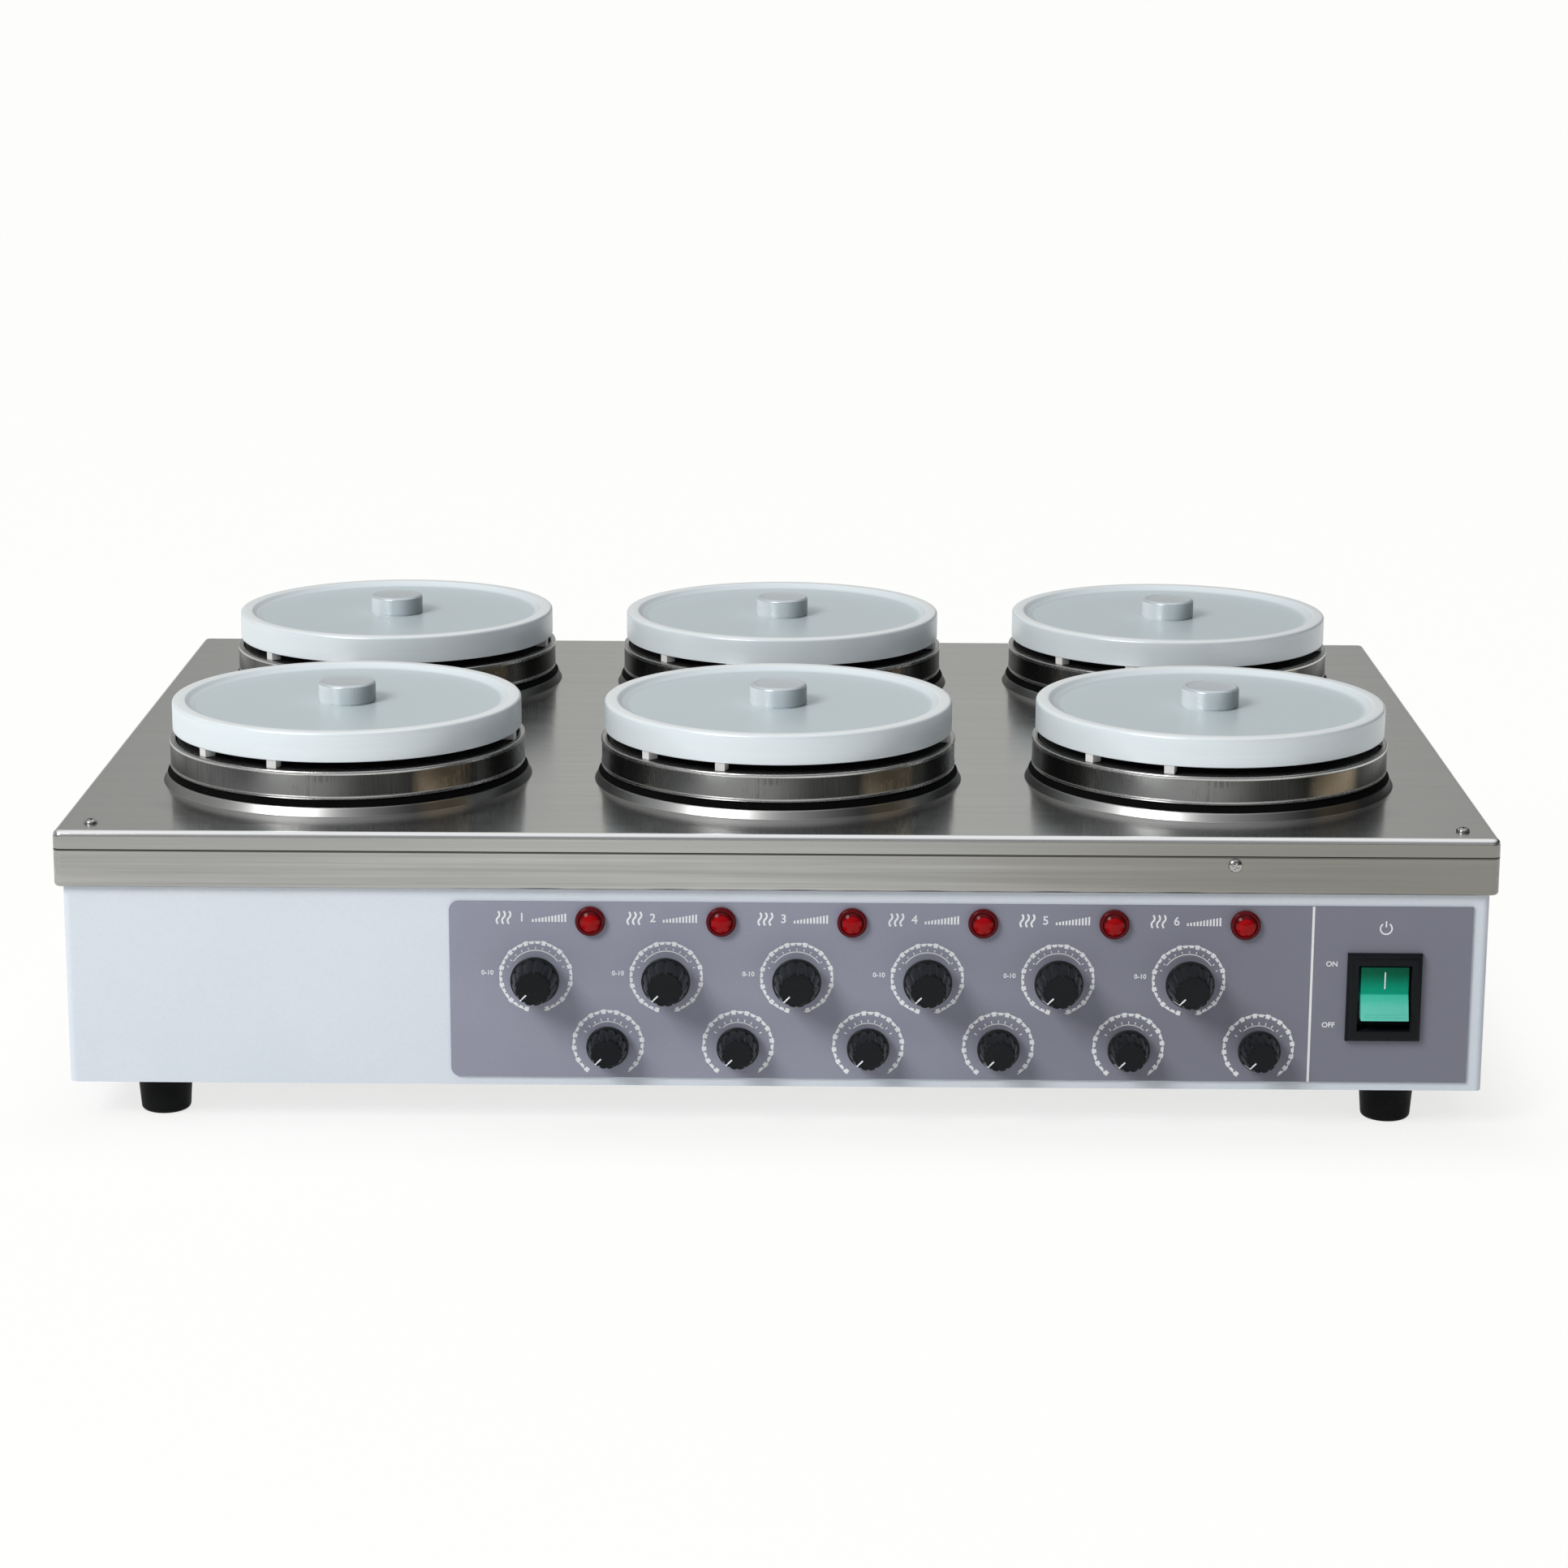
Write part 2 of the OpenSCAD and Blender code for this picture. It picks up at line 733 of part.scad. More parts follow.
// The plate that closes the housing below, with cooling slots and the board's pillars
module base_plate() {
    inner_w = housing_w - 2 * (wall_t + base_gap);
    inner_d = housing_d - 2 * (wall_t + base_gap);
    color(paint) {
        translate([0, 0, foot_h])
            linear_extrude(base_t)
                difference() {
                    round_rect(inner_w, inner_d, housing_corner_r - wall_t);
                    for (i = [1:stations])
                        translate([station_x(i), station_y(i)])
                            for (k = [0:vent_count - 1])
                                translate([0, (k - (vent_count - 1) / 2) * vent_pitch])
                                    slot(vent_l, vent_w);
                    at_feet()
                        circle(foot_screw_d / 2 + screw_gap);
                }
        at_pillars()
            cylinder(h = pillar_h, d = pillar_d);
    }
}

// A slot with round ends
module slot(l, w) {
    square([l - w, w], center = true);
    for (side = [-1, 1])
        translate([side * (l - w) / 2, 0])
            circle(w / 2);
}

module at_pillars() {
    for (sx = [-1, 1])
        for (sy = [-1, 1])
            translate([sx * (board_w / 2 - pillar_inset), row_shift + sy * (board_d / 2 - pillar_inset),
                       foot_h + base_t])
                children();
}

// The stainless sheet: flat top, folded edge and a pressed collar round each station's hole
module top_deck() {
    color(stainless)
        difference() {
            union() {
                translate([0, 0, deck_top - deck_t])
                    linear_extrude(deck_t)
                        difference() {
                            square([deck_w - 2 * deck_corner_r, deck_d - 2 * deck_corner_r], center = true);
                            for (i = [1:stations])
                                translate([station_x(i), station_y(i)])
                                    circle((collar_d - deck_t) / 2);
                        }
                translate([0, 0, deck_top])
                    sweep_round(deck_w, deck_d, deck_corner_r)
                        deck_edge();
                at_all_stations()
                    rotate_extrude()
                        collar_section();
            }
            at_deck_screws()
                screw_hole();
        }
}

// Section of the folded edge: flat, bend and upright return
module deck_edge() {
    bend_x = deck_corner_r - deck_bend_r;
    translate([0, -deck_t])
        square([bend_x, deck_t]);
    translate([bend_x, -deck_bend_r])
        intersection() {
            difference() {
                circle(deck_bend_r);
                circle(deck_bend_r - deck_t);
            }
            square(deck_bend_r);
        }
    translate([deck_corner_r - deck_t, -deck_return])
        square([deck_t, deck_return - deck_bend_r]);
}

// Section of a collar: root fillet, upright wall, round nose and the inward flange
module collar_section() {
    collar_r = collar_d / 2;
    hole_r = deck_hole_d / 2;
    nose_x = collar_r - collar_nose_r;
    nose_z = collar_h - collar_nose_r;
    difference() {
        union() {
            translate([hole_r, -deck_t])
                square([nose_x - hole_r, collar_h + deck_t]);
            translate([nose_x, -deck_t])
                square([collar_nose_r, nose_z + deck_t]);
            translate([nose_x, nose_z])
                circle(collar_nose_r);
            translate([collar_r - slack / 2, -deck_t / 2])
                square([collar_root_r + slack / 2, collar_root_r + deck_t / 2]);
        }
        translate([hole_r - slack, -deck_t - slack])
            square([collar_r - deck_t - hole_r + slack, collar_h + slack]);
        translate([collar_r + collar_root_r, collar_root_r])
            circle(collar_root_r);
    }
}

// The band under the seam, with a hem folded inside its lower edge
module deck_skirt() {
    color(stainless)
        difference() {
            translate([0, 0, deck_top])
                sweep_round(deck_w, deck_d, deck_corner_r)
                    skirt_section();
            at_lip_screws()
                screw_hole();
        }
}

module skirt_section() {
    outer_x = deck_corner_r - skirt_t;
    translate([outer_x, skirt_low + hem_r])
        square([skirt_t, skirt_h - hem_r]);
    translate([outer_x - skirt_t, skirt_low + hem_r])
        square([skirt_t, hem_h - hem_r]);
    translate([outer_x, skirt_low + hem_r])
        intersection() {
            circle(hem_r);
            translate([-hem_r, -hem_r])
                square([2 * hem_r, hem_r]);
        }
}

// The grey panel on the front wall, with round corners on its left
module control_panel() {
    color(panel_grey)
        difference() {
            translate([panel_left, front_y, panel_low])
                rotate([90, 0, 0])
                    linear_extrude(panel_t) {
                        translate([panel_corner_r, 0])
                            square([panel_w - panel_corner_r, panel_h]);
                        translate([0, panel_corner_r])
                            square([panel_corner_r, panel_h - 2 * panel_corner_r]);
                        for (z = [panel_corner_r, panel_h - panel_corner_r])
                            translate([panel_corner_r, z])
                                circle(panel_corner_r);
                    }
            at_all_controls(heat_x, heat_z)
                drill(bush_d / 2 + bush_gap, slack - inner_wall);
            at_all_controls(speed_x, speed_z)
                drill(bush_d / 2 + bush_gap, slack - inner_wall);
            at_all_controls(lamp_x, lamp_z)
                drill(lamp_stem_d / 2 + bush_gap, slack - inner_wall);
            on_switch()
                switch_cutout();
        }
}

// Four tapered feet with a recess for their screw
module rubber_feet() {
    top_r = foot_top_d / 2;
    bottom_r = foot_bottom_d / 2;
    hole_r = foot_screw_d / 2 + screw_gap;
    color(rubber)
        at_feet()
            rotate_extrude()
                difference() {
                    union() {
                        polygon([[hole_r, 0], [bottom_r - foot_edge_r, 0], [bottom_r, foot_edge_r],
                                 [top_r, foot_h], [hole_r, foot_h]]);
                        translate([bottom_r - foot_edge_r, foot_edge_r])
                            circle(foot_edge_r);
                    }
                    square([foot_recess_d / 2, foot_recess]);
                }
}

module foot_screws() {
    shank_top = gusset_top + foot_head_h;
    color(bright_steel)
        at_feet() {
            translate([0, 0, foot_recess - foot_head_h])
                cylinder(h = foot_head_h, d = foot_head_d);
            translate([0, 0, foot_recess - foot_head_h])
                cylinder(h = shank_top - foot_recess + foot_head_h, d = foot_screw_d);
        }
}

// The deck, its lips and the mains inlet share one kind of screw
module pan_screws() {
    color(bright_steel) {
        at_deck_screws()
            pan_screw();
        at_lip_screws()
            pan_screw();
        at_inlet_screws()
            pan_screw();
    }
}

module seal_rings() {
    seal_t = (seal_d - seal_hole_d) / 2;
    color(rubber)
        at_all_stations()
            rotate_extrude()
                translate([(seal_d - seal_t) / 2, collar_h + seal_h / 2])
                    round_rect(seal_t, seal_h, seal_edge_r);
}

module trim_rings() {
    color(bright_steel)
        at_all_stations()
            rotate_extrude()
                translate([ring_d / 2 - ring_t / 2, ring_low + ring_h / 2])
                    round_rect(ring_t, ring_h, ring_edge_r);
}

// Cast plate with a neck that passes through the collar and holds the heater
module hotplates() {
    color(black)
        at_all_stations()
            rotate_extrude() {
                translate([0, ring_low])
                    square([plate_r - plate_edge_r, ring_h]);
                translate([0, ring_low])
                    square([plate_r, ring_h - plate_edge_r]);
                translate([plate_r - plate_edge_r, ring_top - plate_edge_r])
                    circle(plate_edge_r);
                translate([neck_r - neck_wall, -neck_drop])
                    square([neck_wall, neck_drop + ring_low + slack]);
            }
}

module heating_elements() {
    color(bright_steel)
        at_all_stations()
            translate([0, 0, ring_low - heater_t])
                difference() {
                    cylinder(h = heater_t, r = heater_r);
                    drill(heater_hole_d / 2, heater_t + slack);
                }
}

module insulation_discs() {
    color(white_ceramic)
        at_all_stations()
            translate([0, 0, -neck_drop])
                cylinder(h = insulation_t, r = heater_r);
}

// The motor body with its boss, bored for the shaft
module stirrer_motors() {
    color(bright_steel)
        at_all_stations()
            difference() {
                union() {
                    translate([0, 0, motor_top - motor_h])
                        cylinder(h = motor_h, d = motor_d);
                    translate([0, 0, motor_top - slack])
                        cylinder(h = boss_h + slack, d = boss_d);
                }
                translate([0, 0, boss_top])
                    drill(shaft_d / 2 + running_fit, shaft_in_motor + end_gap);
            }
}

// A strip bent to a hat, with the motor hung under its crown
module motor_brackets() {
    outer_x = bracket_span / 2 + bracket_t;
    foot_end = outer_x + bracket_foot;
    shoulder = base_top + bracket_t;
    crown = bracket_top - bracket_t;
    right = [[bracket_span / 2, crown], [bracket_span / 2, base_top], [foot_end, base_top],
             [foot_end, shoulder], [outer_x, shoulder], [outer_x, bracket_top]];
    left = [for (k = [len(right) - 1:-1:0]) [-right[k][0], right[k][1]]];
    color(bright_steel)
        at_all_stations()
            difference() {
                translate([0, bracket_w / 2, 0])
                    rotate([90, 0, 0])
                        linear_extrude(bracket_w)
                            polygon(concat(right, left));
                translate([0, 0, bracket_top])
                    drill(boss_d / 2 + bush_gap, bracket_t + slack);
            }
}

// Magnet carrier, its two magnets and the shaft that turns them
module stir_rotor(i) {
    reach = magnet_pitch / 2;
    shaft_top = carrier_low + carrier_t / 2;
    shaft_low = boss_top - shaft_in_motor;
    color(aluminium)
        at_station(i)
            difference() {
                union() {
                    translate([0, 0, carrier_low])
                        linear_extrude(carrier_t)
                            slot(magnet_pitch + carrier_w, carrier_w);
                    translate([0, 0, hub_low])
                        cylinder(h = hub_h + slack, d = hub_d);
                }
                translate([0, 0, hub_low - slack])
                    cylinder(h = shaft_top - hub_low + slack + end_gap, r = shaft_d / 2 + running_fit);
            }
    color(bright_steel)
        at_station(i) {
            for (side = [-1, 1])
                translate([side * reach, 0, magnet_low])
                    cylinder(h = magnet_h, d = magnet_d);
            translate([0, 0, shaft_low])
                cylinder(h = shaft_top - shaft_low, d = shaft_d);
        }
}

// A red lens with a domed front and a stem through the panel
module pilot_lamps() {
    color([0.75, 0.02, 0.04])
        at_all_controls(lamp_x, lamp_z) {
            cylinder(h = lamp_side_h, d = lamp_d);
            translate([0, 0, lamp_side_h])
                dome(lamp_d, lamp_dome_h);
            translate([0, 0, -lamp_stem_l])
                cylinder(h = lamp_stem_l + slack, d = lamp_stem_d);
        }
}

// A control body behind the front wall: its bush comes through the panel, its bore takes the spindle
module spindle_body() {
    difference() {
        union() {
            children();
            translate([0, 0, inner_wall - slack])
                cylinder(h = slack - inner_wall, d = bush_d);
        }
        drill(spindle_d / 2 + running_fit, spindle_in_body + end_gap);
    }
}

module heat_regulators() {
    color(white_ceramic)
        at_all_controls(heat_x, heat_z)
            spindle_body()
                translate([0, 0, inner_wall - regulator_l])
                    linear_extrude(regulator_l)
                        round_rect(regulator_w, regulator_h, regulator_corner_r);
}

module speed_potentiometers() {
    color(bright_steel)
        at_all_controls(speed_x, speed_z)
            spindle_body()
                translate([0, 0, inner_wall - pot_l])
                    cylinder(h = pot_l, d = pot_d);
}

// A tapered, fluted knob on a narrow stub, with its spindle in a blind bore
module fluted_knob(skirt_d, face_d, l, stub_l) {
    skirt_r = skirt_d / 2;
    stub_r = skirt_r - stub_step;
    grip_r = skirt_r - flute_depth;
    grip_low = stub_l + knob_skirt_h;
    lean = atan2(grip_r - face_d / 2, l - grip_low);
    edge = flute_depth;
    difference() {
        translate([0, 0, knob_gap])
            rotate_extrude()
                polygon([[0, 0], [stub_r, 0], [stub_r, stub_l], [skirt_r, stub_l], [skirt_r, grip_low],
                         [grip_r, grip_low], [face_d / 2, l - edge], [face_d / 2 - edge, l], [0, l]]);
        for (k = [0:flute_count - 1])
            rotate(360 / flute_count * (k + 0.5))
                translate([grip_r, 0, knob_gap + grip_low])
                    rotate([0, -lean, 0])
                        translate([flute_r - flute_depth, 0, 0])
                            cylinder(h = 2 * l, r = flute_r);
        drill(spindle_d / 2 + running_fit, knob_gap + spindle_in_knob + end_gap);
    }
    translate([0, 0, -spindle_in_body])
        cylinder(h = spindle_in_body + knob_gap + spindle_in_knob, d = spindle_d);
}

module heat_knob(i) {
    color(black)
        on_panel(heat_x + (i - 1) * control_pitch, heat_z)
            fluted_knob(heat_knob_d, heat_face_d, heat_knob_l, heat_stub_l);
}

module speed_knob(i) {
    color(black)
        on_panel(speed_x + (i - 1) * control_pitch, speed_z)
            fluted_knob(speed_knob_d, speed_face_d, speed_knob_l, speed_stub_l);
}

// Section across a bevelled bezel of width w
module bezel_section(w) {
    polygon([[-w / 2, 0], [w / 2, 0], [w / 2, bezel_edge], [w / 2 - bezel_bevel, bezel_t],
             [bezel_bevel - w / 2, bezel_t], [-w / 2, bezel_edge]]);
}

// The bevelled bezel and the body behind it, with the rocker's well and pivot bores
module switch_frame() {
    color(black)
        on_switch()
            difference() {
                union() {
                    intersection() {
                        translate([0, bezel_h / 2, 0])
                            rotate([90, 0, 0])
                                linear_extrude(bezel_h)
                                    bezel_section(bezel_w);
                        translate([-bezel_w / 2, 0, 0])
                            rotate([90, 0, 90])
                                linear_extrude(bezel_w)
                                    bezel_section(bezel_h);
                    }
                    translate([-switch_w / 2, -switch_h / 2, -switch_l])
                        cube([switch_w, switch_h, switch_l + bezel_edge]);
                }
                translate([-well_w / 2, -well_h / 2, -well_depth])
                    cube([well_w, well_h, well_depth + bezel_t + slack]);
                translate([0, rocker_y, pivot_z])
                    rotate([0, 90, 0])
                        drill(pivot_d / 2 + running_fit, well_w / 2 + pivot_depth + end_gap);
            }
}

// The rocker, with two faces that meet in a shallow valley; its upper end is pressed in
module rocker() {
    back_y = rocker_end_y - rocker_side_gap;
    back_z = rocker_end_z - rocker_t;
    pin_reach = well_w / 2 + pivot_depth;
    color([0.12, 0.55, 0.42])
        on_switch()
            translate([0, rocker_y, pivot_z])
                rotate([-rocker_tilt, 0, 0]) {
                    rotate([90, 0, 90])
                        translate([0, 0, -rocker_w / 2])
                            linear_extrude(rocker_w)
                                polygon([[-rocker_end_y, rocker_end_z], [-back_y, back_z],
                                         [-rocker_hub, -rocker_hub], [rocker_hub, -rocker_hub],
                                         [back_y, back_z], [rocker_end_y, rocker_end_z],
                                         [0, rocker_rise]]);
                    rotate([0, 90, 0])
                        cylinder(h = 2 * pin_reach, d = pivot_d, center = true);
                }
}

// Outline of the inlet's socket, with two corners cut off
module socket_outline(w, h) {
    polygon([[-w / 2, -h / 2], [w / 2, -h / 2], [w / 2, h / 2 - socket_chamfer],
             [w / 2 - socket_chamfer, h / 2], [socket_chamfer - w / 2, h / 2],
             [-w / 2, h / 2 - socket_chamfer]]);
}

module mains_inlet() {
    color(black)
        difference() {
            on_inlet()
                difference() {
                    union() {
                        linear_extrude(inlet_t)
                            round_rect(inlet_w, inlet_h, inlet_corner_r);
                        translate([-inlet_body_w / 2, -inlet_body_h / 2, -inlet_body_l])
                            cube([inlet_body_w, inlet_body_h, inlet_body_l + inlet_t / 2]);
                    }
                    translate([0, 0, inlet_t - socket_l])
                        linear_extrude(socket_l + slack)
                            socket_outline(socket_w, socket_h);
                }
            at_inlet_screws()
                screw_hole();
        }
}

module inlet_pins() {
    color(bright_steel)
        on_inlet()
            for (k = [-1, 0, 1])
                translate([k * pin_pitch / 2 - pin_w / 2, (k == 0 ? 1 : -1) * pin_step / 2 - pin_h / 2,
                           inlet_t - socket_l])
                    cube([pin_w, pin_h, pin_l]);
}

// The board with its transformer and a relay for each station
module control_board() {
    board_low = foot_h + base_t + pillar_h;
    color([0.10, 0.35, 0.20])
        translate([0, row_shift, board_low]) {
            translate([-board_w / 2, -board_d / 2, 0])
                cube([board_w, board_d, board_t]);
            translate([transformer_x - board_w / 2, -transformer_d / 2, 0])
                cube([transformer_w, transformer_d, board_t + transformer_h]);
            for (k = [0:stations - 1])
                translate([board_w / 2 - relay_x - relay_w / 2 - k * relay_pitch, -relay_d / 2, 0])
                    cube([relay_w, relay_d, board_t + relay_h]);
        }
}

// One lid: flat rim, cove and dished middle above, a shallow relief below
module lid(i) {
    lid_r = lid_d / 2;
    color(aluminium)
        at_station(i)
            translate([0, 0, lid_low])
                rotate_extrude()
                    difference() {
                        union() {
                            square([lid_r - lid_edge_r, lid_h]);
                            square([lid_r, lid_h - lid_edge_r]);
                            translate([lid_r - lid_edge_r, lid_h - lid_edge_r])
                                circle(lid_edge_r);
                        }
                        translate([0, lid_h - dish_depth])
                            square([dish_r, dish_depth + slack]);
                        translate([dish_r, lid_h - dish_depth + cove_r])
                            circle(cove_r);
                        translate([0, -slack])
                            square([lid_r - relief_rim, relief_depth + slack]);
                    }
}

module lid_knob(i) {
    knob_r = lid_knob_d / 2;
    color(aluminium)
        at_station(i)
            translate([0, 0, dish_top])
                rotate_extrude()
                    polygon([[0, 0], [knob_r, 0], [knob_r, lid_knob_h - lid_knob_chamfer],
                             [knob_r - lid_knob_chamfer, lid_knob_h], [0, lid_knob_h]]);
}

// White pads under the lid's rim, which hold it off the hotplate
module lid_pads(i) {
    color(white_ceramic)
        at_station(i)
            for (a = all_pad_angles)
                rotate(a - 90)
                    translate([lid_d / 2 - pad_inset - pad_l, -pad_w / 2, lid_low - pad_h])
                        cube([pad_l, pad_w, pad_h]);
}

in_place() housing_shell();
in_place() base_plate();
in_place() top_deck();
in_place() deck_skirt();
in_place() control_panel();
in_place() rubber_feet();
in_place() foot_screws();
in_place() pan_screws();
in_place() seal_rings();
in_place() trim_rings();
in_place() hotplates();
in_place() heating_elements();
in_place() insulation_discs();
in_place() stirrer_motors();
in_place() motor_brackets();
in_place() pilot_lamps();
in_place() heat_regulators();
in_place() speed_potentiometers();
in_place() switch_frame();
in_place() rocker();
in_place() mains_inlet();
in_place() inlet_pins();
in_place() control_board();
for (i = [1:stations]) {
    in_place() lid(i);
    in_place() lid_knob(i);
    in_place() lid_pads(i);
    in_place() stir_rotor(i);
    in_place() heat_knob(i);
    in_place() speed_knob(i);
}
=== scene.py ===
import math

import bmesh
import bpy
from mathutils import Matrix, Vector


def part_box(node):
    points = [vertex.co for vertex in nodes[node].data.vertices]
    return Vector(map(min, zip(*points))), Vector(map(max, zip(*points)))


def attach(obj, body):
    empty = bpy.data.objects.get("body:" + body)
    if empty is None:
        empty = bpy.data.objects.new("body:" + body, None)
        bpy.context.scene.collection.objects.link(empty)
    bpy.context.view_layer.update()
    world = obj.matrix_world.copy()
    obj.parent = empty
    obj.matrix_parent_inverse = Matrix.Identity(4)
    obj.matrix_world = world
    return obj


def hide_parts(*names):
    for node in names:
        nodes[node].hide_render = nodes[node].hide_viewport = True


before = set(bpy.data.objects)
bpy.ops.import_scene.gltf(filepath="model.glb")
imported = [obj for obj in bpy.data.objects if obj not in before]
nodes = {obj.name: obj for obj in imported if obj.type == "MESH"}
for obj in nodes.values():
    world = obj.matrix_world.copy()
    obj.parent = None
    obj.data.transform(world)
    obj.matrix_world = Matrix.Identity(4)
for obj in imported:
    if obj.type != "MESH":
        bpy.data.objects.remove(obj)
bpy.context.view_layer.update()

mm = 0.001
fullTurn = 2 * math.pi
print("frame:", len(nodes), "solids loaded")


# Lowest and highest edge of a solid along one axis, in mm
def span(node, axis):
    low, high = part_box(node)
    return low[axis] / mm, high[axis] / mm


# Places in mm, in the shared frame
deckFront, deckRear = span("top_deck", 1)
deckMiddle = (deckFront + deckRear) / 2
layout = {
    "columnPitch": 189.0,
    "rowPitch": 206.0,
    "rowShift": 4.0,
    "deckTop": 127.1,
    "panelLow": 21.3,
    "panelHeight": 76.2,
    "controlPitch": 54.5,
    "heatKnob": (-100.0, 65.2),
    "speedKnob": (-70.0, 35.8),
    "lamp": (-77.1, 89.5),
    "switch": (254.0, 58.7),
}
deckTop = layout["deckTop"]
panelFront = span("control_panel", 1)[0]
frontRow = deckMiddle + layout["rowShift"] - layout["rowPitch"] / 2


def shift(x, y, z):
    return Matrix.Translation((x * mm, y * mm, z * mm))


def rotation(angle, axis):
    return Matrix.Rotation(math.radians(angle), 4, axis)


def sized(x, y, z):
    return Matrix.Diagonal((x * mm, y * mm, z * mm, 1.0))


# Local z out of the panel, local y up
def onPanel(x, z):
    return shift(x, panelFront, z) @ rotation(90, "X")


stationPlaces = [
    shift(column * layout["columnPitch"], frontRow + row * layout["rowPitch"], deckTop)
    for row in (0, 1)
    for column in (-1, 0, 1)
]
stationCount = len(stationPlaces)


# The six places of one kind of control
def alongPanel(kind):
    x, z = layout[kind]
    return [onPanel(x + index * layout["controlPitch"], z) for index in range(stationCount)]


def asMesh(bm, name):
    mesh = bpy.data.meshes.new(name)
    bm.to_mesh(mesh)
    bm.free()
    return mesh


def addObject(name, data):
    made = bpy.data.objects.new(name, data)
    bpy.context.scene.collection.objects.link(made)
    return made


# Sets a node's inputs: a socket is linked, and a plain colour gets its alpha
def feed(made, values):
    for key, value in values.items():
        socket = made.inputs[key]
        if isinstance(value, bpy.types.NodeSocket):
            made.id_data.links.new(value, socket)
        elif socket.type == "RGBA":
            socket.default_value = (*value, 1.0)
        else:
            socket.default_value = value


def addNode(tree, kind, values=None, **settings):
    made = tree.nodes.new("ShaderNode" + kind)
    for key, value in settings.items():
        setattr(made, key, value)
    feed(made, values or {})
    return made


def calc(operation, *terms):
    tree = next(term.id_data for term in terms if isinstance(term, bpy.types.NodeSocket))
    return addNode(tree, "Math", dict(enumerate(terms)), operation=operation).outputs[0]


def times(first, second):
    return calc("MULTIPLY", first, second)


def plus(first, second):
    return calc("ADD", first, second)


def minus(first, second):
    return calc("SUBTRACT", first, second)


def distance(x, y):
    return calc("SQRT", plus(times(x, x), times(y, y)))


def remap(value, low, high, toLow=0.0, toHigh=1.0, curve="SMOOTHSTEP"):
    spans = {"Value": value, "From Min": low, "From Max": high, "To Min": toLow, "To Max": toHigh}
    return addNode(value.id_data, "MapRange", spans, interpolation_type=curve).outputs[0]


def linear(value, toLow, toHigh):
    return remap(value, 0.0, 1.0, toLow, toHigh, "LINEAR")


# Lays tones over a colour, each by its share
def layered(colour, *layers):
    for share, tone in layers:
        values = {0: share, 6: colour, 7: tone}
        colour = addNode(share.id_data, "Mix", values, data_type="RGBA").outputs[2]
    return colour


def noise(vector, scale, detail=2.0, rough=0.5):
    values = {"Vector": vector, "Scale": scale, "Detail": detail, "Roughness": rough}
    return addNode(vector.id_data, "TexNoise", values).outputs[0]


# Two noises in one, drawn out from a span of values
def blended(first, second, share, band):
    both = plus(times(first, 1 - share), times(second, share))
    return remap(both, *band)


def scaled(vector, scale):
    return addNode(vector.id_data, "Mapping", {"Vector": vector, "Scale": scale}).outputs[0]


def objectPlace(tree):
    return addNode(tree, "TexCoord").outputs["Object"]


def splitAxes(vector):
    return addNode(vector.id_data, "SeparateXYZ", {0: vector}).outputs


# Inputs are given by their first values, and outputs by their kinds
def newGroup(name, inputs, **outputs):
    group = bpy.data.node_groups.new(name, "ShaderNodeTree")
    for label, start in inputs.items():
        kind = "Vector" if isinstance(start, tuple) else "Float"
        socket = group.interface.new_socket(label, in_out="INPUT", socket_type="NodeSocket" + kind)
        socket.default_value = start
    for label, kind in outputs.items():
        group.interface.new_socket(label, in_out="OUTPUT", socket_type="NodeSocket" + kind)
    return group, group.nodes.new("NodeGroupInput").outputs, group.nodes.new("NodeGroupOutput")


def useGroup(tree, group, values):
    return addNode(tree, "Group", values, node_tree=group).outputs


def newFinish(name):
    finish = bpy.data.materials.new(name)
    finish.use_nodes = True
    tree = finish.node_tree
    return finish, tree, tree.nodes["Principled BSDF"]


def bumpInto(shader, height, look):
    values = {"Height": height, "Strength": look["bump"], "Distance": look["bumpDepth"] * mm}
    feed(shader, {"Normal": addNode(shader.id_data, "Bump", values).outputs[0]})


studio = {
    "floorHalf": 60.0,
    "floorColour": (0.95, 0.95, 0.94),
    "floorRough": 0.9,
    "floorWhite": (1.0, 1.0, 0.985),
    "floorGlow": (0.75, 0.97),  # share of plain white that the camera and the metals see, near and far
    "floorReach": (0.0, 0.065),
    "footprint": (0.29, 0.20),
    "frontSky": (0.22, 0.223, 0.23),
    "rearSky": (0.40, 0.40, 0.39),
    "rearSpan": (-0.3, 0.6),
    "rearGlow": (0.57, 0.57, 0.555),
    "glowSpan": (0.02, 0.24),
    "horizonSky": (0.20, 0.20, 0.195),
    "horizonSpan": (0.13, 0.23),
    "horizonShare": 0.6,
    "rightSky": (0.05, 0.05, 0.05),
    "rightSpan": (0.1, 0.85),
    "zenithSky": (0.85, 0.86, 0.88),
    "zenithSpan": (0.55, 0.97),
    "keyPlace": (-1.60, -1.90, 1.92),
    "keySize": 1.3,
    "keyPower": 54.0,
}


def addKeyLight():
    lamp = bpy.data.lights.new("keyLight", "AREA")
    lamp.shape = "DISK"
    lamp.size = studio["keySize"]
    lamp.energy = studio["keyPower"]
    holder = addObject("keyLight", lamp)
    holder.location = studio["keyPlace"]
    holder.rotation_euler = Vector(studio["keyPlace"]).to_track_quat("Z", "Y").to_euler()


